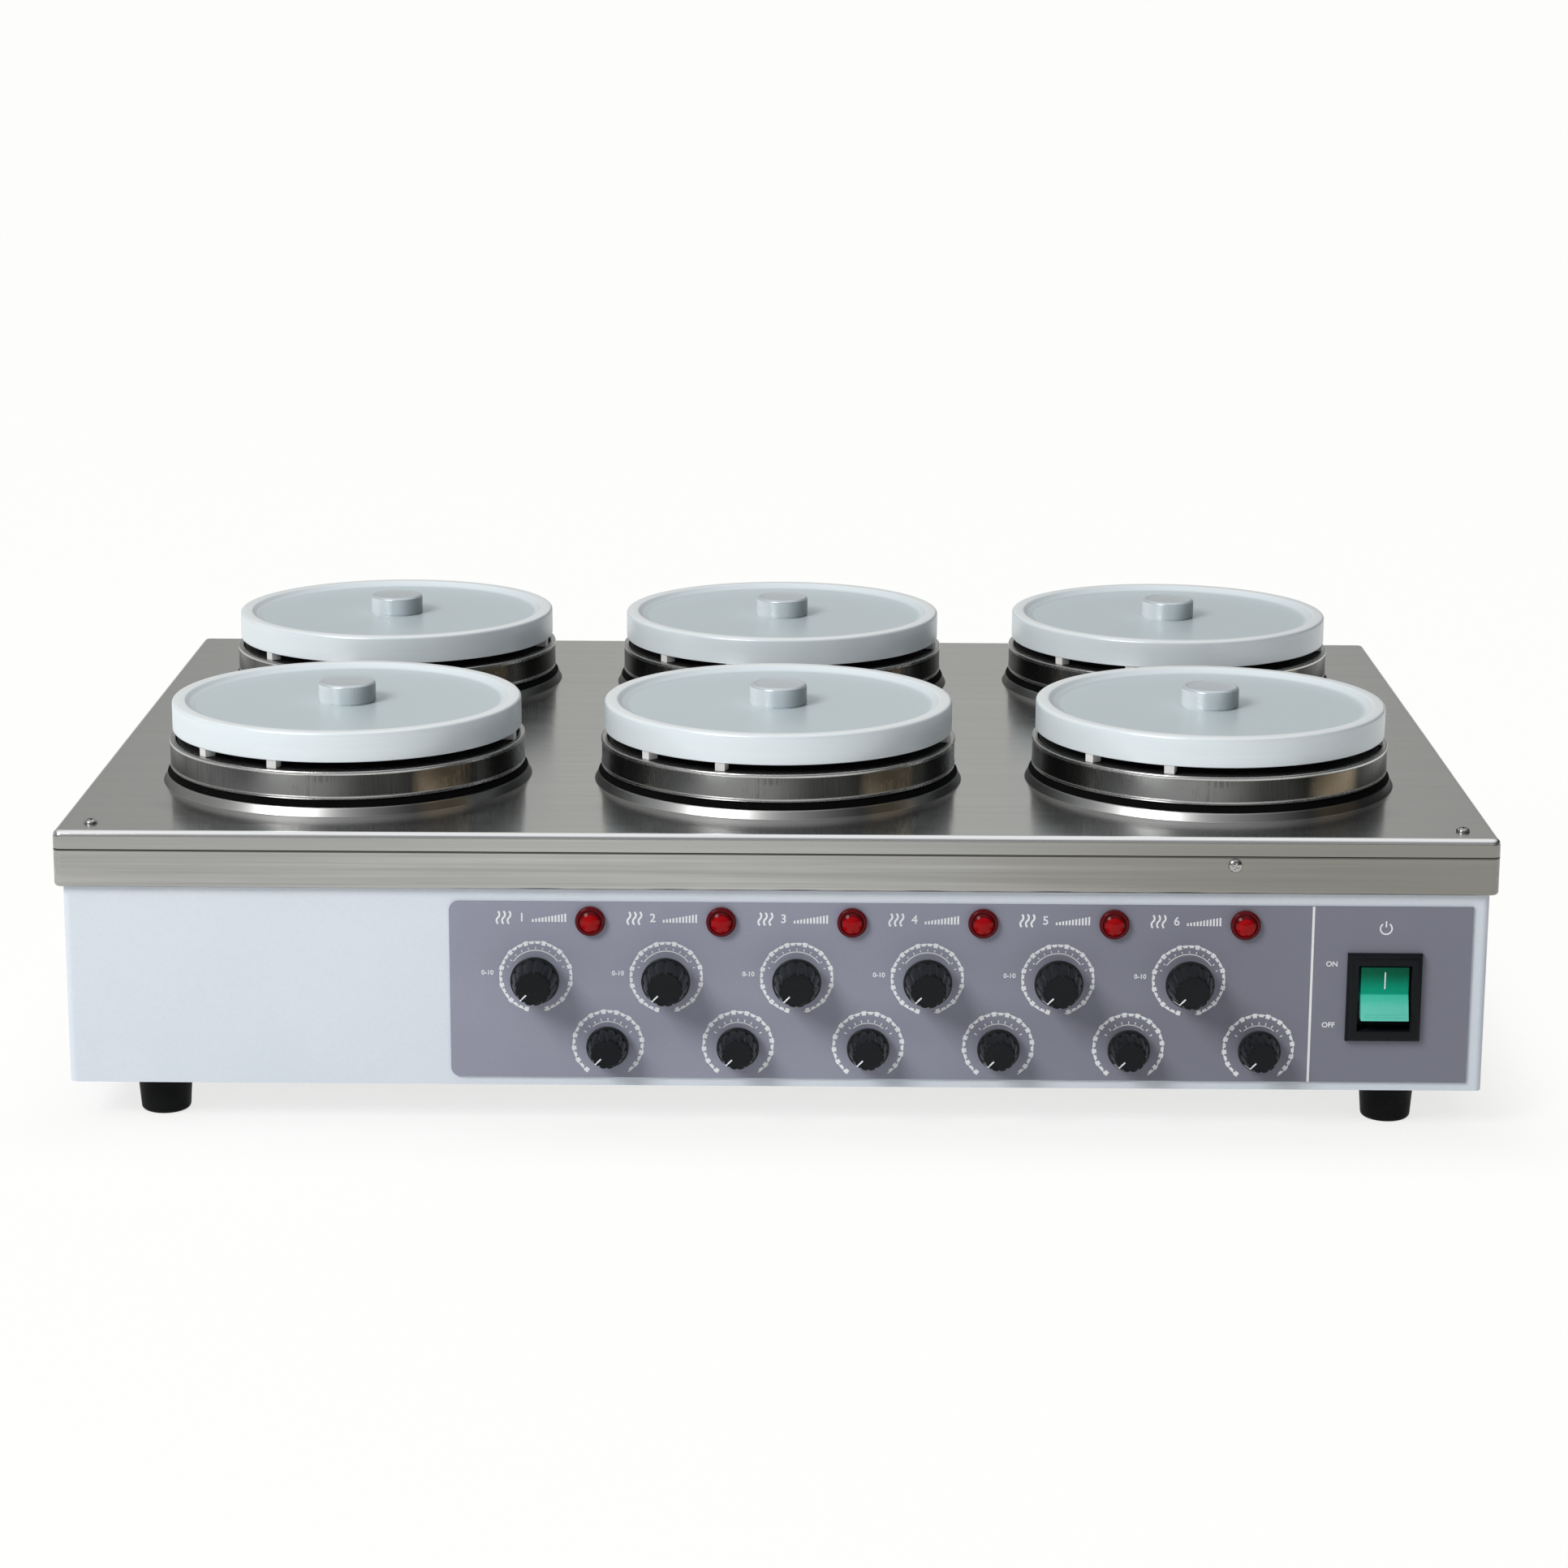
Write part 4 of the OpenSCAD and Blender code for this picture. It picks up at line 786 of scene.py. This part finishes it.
def roundOff(bm, parts, offset, segments, affect="EDGES"):
    bmesh.ops.bevel(
        bm, geom=parts, offset=offset * mm, segments=segments, profile=0.5, material=-1, affect=affect)


def addBox(bm, place):
    bmesh.ops.create_cube(bm, size=1.0, matrix=place)


# Turns a section round the Z axis; each corner is (radius, height, rounding) in mm
def turned(corners, steps):
    bm = bmesh.new()
    verts = [bm.verts.new((r * mm, 0.0, z * mm)) for r, z, _ in corners]
    for pair in zip(verts, verts[1:]):
        bm.edges.new(pair)
    for vert, (_, _, rounding) in zip(verts, corners):
        if rounding:
            # more segments on a large arc
            segments = 5 if rounding < 2 else 12
            roundOff(bm, [vert], rounding, segments, "VERTICES")
    section = list(bm.verts) + list(bm.edges)
    bmesh.ops.spin(
        bm, geom=section, cent=(0, 0, 0), axis=(0, 0, 1), angle=fullTurn, steps=steps, use_merge=True)
    bmesh.ops.remove_doubles(bm, verts=bm.verts, dist=weld)
    return bm


def turnedMesh(steps, corners):
    return asMesh(turned(corners, steps), "blank")


# Adds a copy of a finished mesh at a place
def stamp(bm, mesh, place):
    before = len(bm.verts)
    bm.from_mesh(mesh)
    bm.verts.ensure_lookup_table()
    bmesh.ops.transform(bm, matrix=place, verts=bm.verts[before:])


def stamped(mesh, *places):
    bm = bmesh.new()
    for place in places:
        stamp(bm, mesh, place)
    return bm


lidShape = {
    "radius": 76.1, "edge": 1.4, "footEdge": 0.5, "rimInner": 70.6, "innerEdge": 0.5, "coveFoot": 67.4,
    "coveRound": 2.2, "dishTop": 32.95, "reliefRadius": 63.1, "reliefDepth": 2.5, "steps": 168,
}


def makeLid():
    s = lidShape
    relief = lidLow + s["reliefDepth"]
    return turnedMesh(s["steps"], [
        (0.0, s["dishTop"], 0), (s["coveFoot"], s["dishTop"], s["coveRound"]),
        (s["rimInner"], lidHigh, s["innerEdge"]),
        (s["radius"], lidHigh, s["edge"]), (s["radius"], lidLow, s["footEdge"]),
        (s["reliefRadius"], lidLow, 0), (s["reliefRadius"], relief, 0), (0.0, relief, 0),
    ])


lidKnobShape = {
    "radius": 12.5, "edge": 0.25, "footGroove": 0.35, "grooveHeight": 0.7, "grooveSlope": 0.1,
    "grooveRound": 0.12, "topDish": 0.25, "topRim": 1.6, "dishSlope": 0.6, "steps": 96,
}


def makeLidKnob():
    s = lidKnobShape
    inner = s["radius"] - lidKnobChamfer
    dish = inner - s["topRim"]
    groove = s["radius"] - s["footGroove"]
    low, high = lidKnobLow, lidKnobHigh
    return turnedMesh(s["steps"], [
        (0.0, high - s["topDish"], 0), (dish, high - s["topDish"], s["dishSlope"]),
        (dish + s["dishSlope"], high, s["edge"]), (inner, high, s["edge"]),
        (s["radius"], high - lidKnobChamfer, s["edge"]),
        (s["radius"], low + s["grooveHeight"], s["grooveRound"]),
        (groove, low + s["grooveHeight"] - s["grooveSlope"], 0), (groove, low, 0), (0.0, low, 0),
    ])


ringShape = {
    "outer": 77.6, "inner": 74.8, "bead": 1.6, "beadRound": 0.1, "step": 0.22, "slope": 0.15,
    "waistRound": 0.05, "edge": 0.75, "start": 3.0, "steps": 168,
}


# A trim ring with a rolled bead along both edges of the outer face
def makeTrimRing():
    s = ringShape
    bead = ringHigh - s["bead"]
    upper = [
        (s["inner"], ringHigh, s["edge"]), (s["outer"], ringHigh, s["edge"]),
        (s["outer"], bead, s["beadRound"]), (s["outer"] - s["step"], bead - s["slope"], s["waistRound"]),
    ]
    lower = [(r, ringLow + ringHigh - z, rounding) for r, z, rounding in reversed(upper)]
    seam = (s["inner"], ringLow + s["start"], 0)
    return turnedMesh(s["steps"], [seam, *upper, *lower, seam])


collarShape = {
    "hole": 74.0, "top": 4.65, "shoulder": 78.35, "shoulderRound": 1.7, "foot": 80.25, "footRound": 0.2,
    "flange": 0.3, "lift": 0.02, "sink": 0.2, "wall": 78.3, "under": 4.0, "bend": (1.3, 1.8), "steps": 168,
}


# Smooth skin over a pressed collar, from under the seal down to the deck
def makeCollar():
    s = collarShape
    flange = s["foot"] + s["flange"]
    across, down = s["bend"]
    return turnedMesh(s["steps"], [
        (s["hole"], s["under"], 0), (s["hole"], s["top"], 0), (s["shoulder"], s["top"], s["shoulderRound"]),
        (s["foot"], s["lift"], s["footRound"]), (flange, s["lift"], 0), (flange, -s["sink"], 0),
        (s["wall"], -s["sink"], 0), (s["wall"], s["under"] - down, 0), (s["wall"] - across, s["under"], 0),
        (s["hole"], s["under"], 0),
    ])


sealShape = {
    "hole": 70.0, "neck": 77.0, "neckRound": 0.4, "bulge": 78.2, "bulgeHeight": 4.8, "bulgeRound": 1.1,
    "lip": (78.75, 3.95), "lipRound": 0.15, "tuck": (1.5, 0.2), "gap": 0.02, "overlap": 0.1, "steps": 168,
}


# Seal that bulges out from under the ring and laps over the collar's shoulder
def makeSeal():
    s = sealShape
    top, low = ringLow - s["gap"], collarShape["top"] - s["overlap"]
    lipRadius, lipHeight = s["lip"]
    inward, down = s["tuck"]
    return turnedMesh(s["steps"], [
        (s["hole"], low, 0), (s["hole"], top, 0), (s["neck"], top, s["neckRound"]),
        (s["bulge"], s["bulgeHeight"], s["bulgeRound"]), (lipRadius, lipHeight, s["lipRound"]),
        (lipRadius - inward, lipHeight - down, 0), (s["hole"], low, 0),
    ])


def buildStations():
    lidBlank, lidKnobBlank = makeLid(), makeLidKnob()
    for station, place in enumerate(stationPlaces, 1):
        lid, knob = "lid_%d" % station, "lid_knob_%d" % station
        addPiece("lid%dTurned" % station, stamped(lidBlank, place), "lid", lid, lid)
        bm = stamped(lidKnobBlank, place)
        addPiece("lidKnob%dTurned" % station, bm, "lidKnob", lid, knob)
    bm = stamped(makeCollar(), *stationPlaces)
    addPiece("collarSkins", bm, "collar", "base")
    bm = stamped(makeTrimRing(), *stationPlaces)
    addPiece("trimRingsRolled", bm, "ring", "base", "trim_rings")
    bm = stamped(makeSeal(), *stationPlaces)
    addPiece("sealsBulged", bm, "seal", "base", "seal_rings")


buildStations()
print("stations: lids, lid knobs, collars, trim rings and seals")

knobShape = {
    "gap": 0.5, "skirt": 1.6, "skirtRound": (0.25, 0.3), "stubStep": 2.6, "stubRound": (0.2, 0.15),
    "flutes": 12, "fluteDepth": 0.55, "flutePower": 1.5, "perFlute": 10, "edge": 0.7, "gripStep": 0.05,
    "faceInset": 1.0, "faceRound": 0.15, "faceSink": 0.18, "spindle": 3.0, "spindleBack": -16.0,
    "spindleFront": 7.9, "spindleRound": 0.3, "spindleSteps": 32, "pointerWidth": 0.6, "pointerProud": 0.1,
    "pointerAngle": 225.0, "pointerOnFace": 3.4, "pointerShort": 0.2,
}
heatKnobSize = {"back": 10.2, "face": 7.4, "length": 18.0, "stub": 5.5}
speedKnobSize = {"back": 8.9, "face": 6.6, "length": 13.5, "stub": 3.0}


# The grip's radius at its back, and the heights of the skirt and the front face
def knobLevels(size):
    s = knobShape
    skirtLow = s["gap"] + size["stub"]
    return size["back"] - s["fluteDepth"], skirtLow, skirtLow + s["skirt"], s["gap"] + size["length"]


def makeKnob(size):
    s = knobShape
    grip, skirtLow, skirtTop, front = knobLevels(size)
    stub = size["back"] - s["stubStep"]
    dish = size["face"] - s["faceInset"]
    sunk = front - s["faceSink"]
    stubBack, stubFront = s["stubRound"]
    skirtBack, skirtFront = s["skirtRound"]
    bm = turned([
        (0.0, s["gap"], 0), (stub, s["gap"], stubBack), (stub, skirtLow, stubFront),
        (size["back"], skirtLow, skirtBack), (size["back"], skirtTop, skirtFront),
        (grip, skirtTop + s["gripStep"], 0), (size["face"], front, s["edge"]),
        (dish, front, s["faceRound"]), (dish - s["faceRound"], sunk, 0), (0.0, sunk, 0),
    ], s["flutes"] * s["perFlute"])
    # press the flutes into the tapered side
    lowest = (skirtTop + s["gripStep"] / 2) * mm
    narrowest = (size["face"] - s["edge"] - s["gripStep"]) * mm
    for vert in bm.verts:
        r = math.hypot(vert.co.x, vert.co.y)
        if vert.co.z > lowest and r > narrowest:
            phase = math.atan2(vert.co.y, vert.co.x) * s["flutes"] / fullTurn
            valley = max(0.0, math.cos(fullTurn * phase)) ** s["flutePower"]
            shrink = 1 - s["fluteDepth"] * mm * valley / r
            vert.co.x *= shrink
            vert.co.y *= shrink
    back, end = s["spindleBack"], s["spindleFront"]
    spindle = turnedMesh(s["spindleSteps"], [
        (0.0, back, 0), (s["spindle"], back, s["spindleRound"]), (s["spindle"], end, 0), (0.0, end, 0),
    ])
    stamp(bm, spindle, Matrix.Identity(4))
    return asMesh(bm, "knobBlank")


# White pointer down the side of a knob and over its face
def makePointer(size):
    s = knobShape
    grip, _, skirtTop, front = knobLevels(size)
    taper, run = grip - size["face"], front - skirtTop
    long = math.hypot(taper, run) - s["pointerShort"]
    wide, deep = s["pointerWidth"], 2 * s["pointerProud"]
    turn = rotation(s["pointerAngle"], "Z")
    lean = rotation(-math.degrees(math.atan2(taper, run)), "Y")
    side = turn @ shift((grip + size["face"]) / 2, 0.0, (skirtTop + front) / 2) @ lean
    reach = size["face"] - s["pointerOnFace"] / 2
    face = turn @ shift(reach, 0.0, front - s["pointerProud"])
    bm = bmesh.new()
    addBox(bm, side @ sized(deep, wide, long))
    addBox(bm, face @ sized(s["pointerOnFace"], wide, deep))
    return asMesh(bm, "pointerBlank")


def buildKnobs(kind, size):
    knobBlank, pointerBlank = makeKnob(size), makePointer(size)
    key = kind + "Knob"
    finishes[key] = coated(key + "Black", face=panelFront - knobShape["gap"] - size["length"])
    for number, place in enumerate(alongPanel(key), 1):
        name, node = "%s%d" % (key, number), "%s_knob_%d" % (kind, number)
        addPiece(name, stamped(knobBlank, place), key, node, node, crease=40.0)
        addPiece(name + "Pointer", stamped(pointerBlank, place), "print", node)


buildKnobs("heat", heatKnobSize)
buildKnobs("speed", speedKnobSize)
print("knobs: six heat and six speed knobs")

lampShape = {
    "radius": 6.25, "collar": 2.5, "collarRound": 0.9, "footRound": 0.15, "dome": 4.6, "domeFoot": 2.2,
    "domeShare": 0.98, "crown": 4.15, "groove": (0.15, 0.5), "grooveRound": 0.1, "stem": 4.5,
    "stemBack": -20.0, "stemRound": 0.4, "steps": 48,
}


def buildLamps():
    s = lampShape
    # both tangents of the dome's arc have this length
    rise = s["crown"] - s["domeFoot"]
    tangent = (s["dome"] ** 2 + rise ** 2) / (2 * s["dome"])
    half, depth = s["groove"]
    lampBlank = turnedMesh(s["steps"], [
        (0.0, s["crown"], 0), (tangent, s["crown"], tangent * s["domeShare"]),
        (s["dome"], s["domeFoot"], s["grooveRound"]), (s["dome"] + half, s["domeFoot"] - depth, 0),
        (s["dome"] + 2 * half, s["collar"], s["grooveRound"]), (s["radius"], s["collar"], s["collarRound"]),
        (s["radius"], 0.0, s["footRound"]), (s["stem"], 0.0, 0), (s["stem"], s["stemBack"], s["stemRound"]),
        (0.0, s["stemBack"], 0),
    ])
    bm = stamped(lampBlank, *alongPanel("lamp"))
    addPiece("pilotLampLenses", bm, "lamp", "base", "pilot_lamps", crease=50.0)


buildLamps()
print("lamps: six lenses")

bezelShape = {
    "width": 31.2, "height": 37.9, "thick": 3.6, "bevel": 2.5, "wellWidth": 22.0, "wellHeight": 28.2,
    "wellDepth": 8.0, "lip": 0.4, "lipInset": 1.0, "housingStep": 2.0, "housing": 22.0,
}


def depthOf(face):
    return face.calc_center_median().z


def insetFace(bm, face, border):
    bmesh.ops.inset_region(bm, faces=[face], thickness=border * mm, use_even_offset=True)


def extrudeFaces(bm, faces, move, **options):
    grown = bmesh.ops.extrude_face_region(bm, geom=faces, **options)["geom"]
    moved = [part for part in grown if isinstance(part, bmesh.types.BMVert)]
    bmesh.ops.translate(bm, vec=[step * mm for step in move], verts=moved)


# Moves a face of a solid and closes the sides behind it
def pushFace(bm, face, move):
    extrudeFaces(bm, [face], move)
    bmesh.ops.delete(bm, geom=[face], context="FACES")


def buildBezel():
    s = bezelShape
    bm = bmesh.new()
    addBox(bm, shift(0, 0, s["thick"] / 2) @ sized(s["width"], s["height"], s["thick"]))
    roundOff(bm, list(max(bm.faces, key=depthOf).edges), s["bevel"], segments=4)
    # switch housing behind the panel
    back = min(bm.faces, key=depthOf)
    insetFace(bm, back, s["housingStep"])
    pushFace(bm, back, (0, 0, -s["housing"]))
    front = max(bm.faces, key=depthOf)
    insetFace(bm, front, s["lipInset"])
    for vert in front.verts:
        vert.co.x = math.copysign(s["wellWidth"] / 2 * mm, vert.co.x)
        vert.co.y = math.copysign(s["wellHeight"] / 2 * mm, vert.co.y)
    rimEdges = list(front.edges)
    pushFace(bm, front, (0, 0, -s["wellDepth"]))
    roundOff(bm, rimEdges, s["lip"], segments=3)
    bmesh.ops.transform(bm, matrix=onPanel(*layout["switch"]), verts=bm.verts)
    addPiece("switchBezel", bm, "switch", "base", "switch_frame", crease=30.0)


rockerShape = {
    "width": 20.0, "half": 11.5, "tilt": 10.0, "rise": 4.0, "thick": 4.5, "sideGap": 1.0, "hub": 2.5,
    "pivot": (1.4, -1.2), "edge": 0.2475, "sharpAngle": 40.0, "shortest": 2.0,
    "bar": (5.6, 0.5, 7.2, 0.08), "ledge": (-9.4, 17.0, 0.8, 0.3),  # height on the face, width, length, proud
}


def buildRocker():
    s = rockerShape
    tilt = math.radians(s["tilt"])
    endY = s["half"] * math.cos(tilt)
    endZ = s["rise"] + s["half"] * math.sin(tilt)
    backY = endY - s["sideGap"]
    backZ = endZ - s["thick"]
    outline = [(-endY, endZ), (-backY, backZ), (-s["hub"], -s["hub"]), (s["hub"], -s["hub"]), (backY, backZ),
               (endY, endZ), (0.0, s["rise"])]
    x, z = layout["switch"]
    up, out = s["pivot"]
    place = onPanel(x, z + up) @ shift(0, 0, out) @ rotation(-s["tilt"], "X")

    # a box lying on one half of the rocking face
    def onFace(bm, at, width, height, proud):
        lean = math.copysign(s["tilt"], at)
        spot = shift(0, at, s["rise"] + abs(at) * math.tan(tilt)) @ rotation(lean, "X")
        addBox(bm, spot @ sized(width, height, 2 * proud))

    bm = bmesh.new()
    side = bm.faces.new([bm.verts.new((-s["width"] / 2 * mm, y * mm, h * mm)) for y, h in outline])
    extrudeFaces(bm, [side], (s["width"], 0, 0))
    onFace(bm, *s["ledge"])
    bmesh.ops.recalc_face_normals(bm, faces=bm.faces)
    bent = math.radians(s["sharpAngle"])
    sharp = [e for e in bm.edges if e.calc_face_angle(0.0) > bent and e.calc_length() > s["shortest"] * mm]
    roundOff(bm, sharp, s["edge"], segments=3)
    bmesh.ops.transform(bm, matrix=place, verts=bm.verts)
    addPiece("rockerCap", bm, "rocker", "rocker", "rocker", crease=25.0)

    bm = bmesh.new()
    onFace(bm, *s["bar"])
    bmesh.ops.transform(bm, matrix=place, verts=bm.verts)
    addPiece("rockerBar", bm, "print", "rocker")


buildBezel()
buildRocker()
print("switch: bezel and rocker")

screwShape = {
    "headRadius": 2.85, "headHeight": 1.9, "sideHeight": 1.0, "sideRound": 0.55, "footRound": 0.1,
    "crown": (1.3, 0.12, 0.5), "shank": 1.5, "tipRound": 0.3, "length": 9.0, "steps": 40,
    "crossWidth": 0.75, "crossReach": 1.55, "crossDepth": 0.9,
    "deck": (286.0, 14.0), "lip": (190.2, 115.4), "rearLip": (200.0, 115.4), "inlet": (234.9, 57.5),
    "inletPitch": 40.0, "inletFace": 0.5, "firstTurn": 20, "turnStep": 53,
}


def makeScrewBlank():
    s = screwShape
    radius, drop, rounding = s["crown"]
    bm = turned([
        (0.0, s["headHeight"], 0), (radius, s["headHeight"] - drop, rounding),
        (s["headRadius"], s["sideHeight"], s["sideRound"]), (s["headRadius"], 0.0, s["footRound"]),
        (s["shank"], 0.0, 0), (s["shank"], -s["length"], s["tipRound"]), (0.0, -s["length"], 0),
    ], s["steps"])
    bmesh.ops.recalc_face_normals(bm, faces=bm.faces)
    return asMesh(bm, "screwBlank")


def makeScrewCutter():
    s = screwShape
    bm = bmesh.new()
    arm = sized(2 * s["crossReach"], s["crossWidth"], 2 * s["crossDepth"])
    for turn in (0, 90):
        addBox(bm, shift(0, 0, s["headHeight"]) @ rotation(turn, "Z") @ arm)
    return asMesh(bm, "screwCutter")


# The mesh of an object with its modifiers or text worked out, and the object taken away
def bakedMesh(holder):
    mesh = bpy.data.meshes.new_from_object(holder.evaluated_get(bpy.context.evaluated_depsgraph_get()))
    bpy.data.objects.remove(holder)
    return mesh


# One pan-head screw with a cross recess, cut by a boolean and kept as plain mesh
def makeScrew():
    blank = addObject("screwBlank", makeScrewBlank())
    cutter = addObject("screwCutter", makeScrewCutter())
    cut = blank.modifiers.new("recess", "BOOLEAN")
    cut.operation = "DIFFERENCE"
    cut.object = cutter
    cut.use_self = True
    screw = bakedMesh(blank)
    bpy.data.objects.remove(cutter)
    return screw


def buildScrews():
    s = screwShape
    toFront, toRear = rotation(90, "X"), rotation(-90, "X")
    deckX, inset = s["deck"]
    rearX, rearZ = s["rearLip"]
    inletX, inletZ = s["inlet"]
    lipX, lipZ = s["lip"]
    places = []
    for side in (-1, 1):
        places.append(shift(side * deckX, deckFront + inset, deckTop))
        places.append(shift(side * rearX, deckRear, rearZ) @ toRear)
        places.append(shift(inletX + side * s["inletPitch"] / 2, deckRear - s["inletFace"], inletZ) @ toRear)
    places.append(shift(lipX, deckFront, lipZ) @ toFront)
    turns = [rotation(s["firstTurn"] + s["turnStep"] * number, "Z") for number in range(len(places))]
    bm = stamped(makeScrew(), *(place @ turn for place, turn in zip(places, turns)))
    addPiece("panScrewsCross", bm, "screw", "base", "pan_screws", crease=30.0)


buildScrews()
print("screws: seven pan heads")

printShape = {
    "thick": 0.06, "merge": 0.01, "bold": 0.06, "curveSteps": 4,
    "station": (-5.6, 25.4), "stationSize": 5.2, "scale": (-20.2, 1.5), "scaleSize": 2.8,
    "waves": (-13.2, 25.4), "waveBend": 1.75, "waveReach": 50.0, "waveWidth": 0.8, "wavePitch": 2.3,
    "levels": (-1.0, 23.6), "levelCount": 11, "levelPitch": 1.35, "levelWidth": 0.75,
    "levelHeights": (1.2, 2.4), "dividerX": 223.7, "dividerWidth": 1.0, "power": 29.5, "powerRadius": 2.4,
    "powerWidth": 0.6, "powerGap": 35, "powerBar": (1.9, 2.6), "on": (-22.0, 14.0), "off": (-22.6, -12.5),
    "wordSize": 3.1,
}
heatDial = {
    "ring": 14.7, "reach": 168.0, "dashes": 34, "fill": 0.7, "wide": 1.9, "narrow": 1.15, "every": 3,
    "line": 0.4, "lineOut": 0.3, "inner": 12.3, "innerReach": 70.0, "ticks": 11, "tick": (0.9, 0.4),
    "halo": 11.3, "haloReach": 55.0, "haloWidth": 0.4,
}
speedDial = dict(
    heatDial, ring=14.3, reach=145.0, dashes=26, fill=0.66, narrow=1.2, every=2, inner=10.9, innerReach=60.0,
    ticks=9, tick=(1.2, 0.45), halo=9.9, haloReach=40.0, haloWidth=0.35)


# A flat strip bent to an arc, angles in degrees clockwise from the top
def printArc(bm, radius, width, start, stop, steps, middle=(0.0, 0.0)):
    centre = Vector((*middle, 0.0)) * mm
    turn = Matrix.Rotation(math.radians(90 - start), 3, "Z")
    inner = bm.verts.new(centre + turn @ Vector(((radius - width / 2) * mm, 0, 0)))
    outer = bm.verts.new(centre + turn @ Vector(((radius + width / 2) * mm, 0, 0)))
    strip = [inner, outer, bm.edges.new((inner, outer))]
    bmesh.ops.spin(
        bm, geom=strip, cent=centre, axis=(0, 0, -1), angle=math.radians(stop - start), steps=steps)


def printBar(bm, x, y, width, height, turn=0.0):
    size = Matrix.Diagonal((width * mm, height * mm, 1.0, 1.0))
    spot = shift(x, y, 0) @ rotation(turn, "Z") @ size
    bmesh.ops.create_grid(bm, x_segments=1, y_segments=1, size=0.5, matrix=spot)


# Gives the flat faces the thickness of the ink
def inkMesh(bm, name):
    bmesh.ops.remove_doubles(bm, verts=bm.verts, dist=printShape["merge"] * mm)
    bmesh.ops.recalc_face_normals(bm, faces=bm.faces)
    extrudeFaces(bm, list(bm.faces), (0, 0, printShape["thick"]), use_keep_orig=True)
    return asMesh(bm, name)


def printWord(bm, place, text, size, at):
    s = printShape
    curve = bpy.data.curves.new("word", "FONT")
    curve.body = text
    curve.size = size * mm
    curve.align_x = "CENTER"
    curve.align_y = "CENTER"
    curve.resolution_u = s["curveSteps"]
    curve.extrude = s["thick"] / 2 * mm
    curve.offset = s["bold"] * mm
    stamp(bm, bakedMesh(addObject("word", curve)), place @ shift(*at, s["thick"] / 2))


# A ring of dashes, a row of ticks inside it and a thin arc by the knob
def printDial(bm, dial):
    step = 2 * dial["reach"] / dial["dashes"]
    for k in range(dial["dashes"]):
        width = dial["wide"] if k % dial["every"] == 0 else dial["narrow"]
        start = -dial["reach"] + k * step
        gap = start + step * dial["fill"]
        printArc(bm, dial["ring"], width, start, gap, steps=4)
        printArc(bm, dial["ring"] + dial["lineOut"], dial["line"], gap, start + step, steps=3)
    long, thick = dial["tick"]
    for k in range(dial["ticks"]):
        angle = 90 - (2 * k / (dial["ticks"] - 1) - 1) * dial["innerReach"]
        turn = math.radians(angle)
        printBar(bm, dial["inner"] * math.cos(turn), dial["inner"] * math.sin(turn), long, thick, angle)
    printArc(bm, dial["halo"], dial["haloWidth"], -dial["haloReach"], dial["haloReach"], steps=32)


# Three rising heat waves, each of two bends
def printHeatWaves(bm):
    s = printShape
    x, y = s["waves"]
    bend, half, width = s["waveBend"], s["waveReach"], s["waveWidth"]
    inset = bend * math.cos(math.radians(half))
    rise = bend * math.sin(math.radians(half))
    for k in (-1, 0, 1):
        for side, angle in ((1, 90), (-1, 270)):
            middle = (x + k * s["wavePitch"] - side * inset, y + side * rise)
            printArc(bm, bend, width, angle - half, angle + half, steps=10, middle=middle)


def printLevels(bm):
    s = printShape
    x, y = s["levels"]
    lowest, more = s["levelHeights"]
    for k in range(s["levelCount"]):
        tall = lowest + more * k / (s["levelCount"] - 1)
        printBar(bm, x + k * s["levelPitch"], y + tall / 2, s["levelWidth"], tall)


def makeKnobPrint(dial, *signs):
    bm = bmesh.new()
    printDial(bm, dial)
    for sign in signs:
        sign(bm)
    return inkMesh(bm, "knobPrint")


# Power sign above the switch, and the line that divides the panel
def makeSwitchPrint():
    s = printShape
    bm = bmesh.new()
    gap = s["powerGap"]
    printArc(bm, s["powerRadius"], s["powerWidth"], gap, 360 - gap, steps=40, middle=(0.0, s["power"]))
    up, tall = s["powerBar"]
    printBar(bm, 0, s["power"] + up, s["powerWidth"], tall)
    x, z = layout["switch"]
    middle = layout["panelLow"] + layout["panelHeight"] / 2 - z
    printBar(bm, s["dividerX"] - x, middle, s["dividerWidth"], layout["panelHeight"])
    return inkMesh(bm, "switchPrint")


def buildPrint():
    s = printShape
    bm = bmesh.new()
    heatPrint = makeKnobPrint(heatDial, printHeatWaves, printLevels)
    speedPrint = makeKnobPrint(speedDial)
    knobPlaces = zip(alongPanel("heatKnob"), alongPanel("speedKnob"))
    for number, (heat, speed) in enumerate(knobPlaces, 1):
        stamp(bm, heatPrint, heat)
        stamp(bm, speedPrint, speed)
        printWord(bm, heat, str(number), s["stationSize"], s["station"])
        printWord(bm, heat, "0-10", s["scaleSize"], s["scale"])
    switch = onPanel(*layout["switch"])
    stamp(bm, makeSwitchPrint(), switch)
    printWord(bm, switch, "ON", s["wordSize"], s["on"])
    printWord(bm, switch, "OFF", s["wordSize"], s["off"])
    addPiece("panelPrint", bm, "print", "base")


buildPrint()
print("print: dials, numbers and signs")
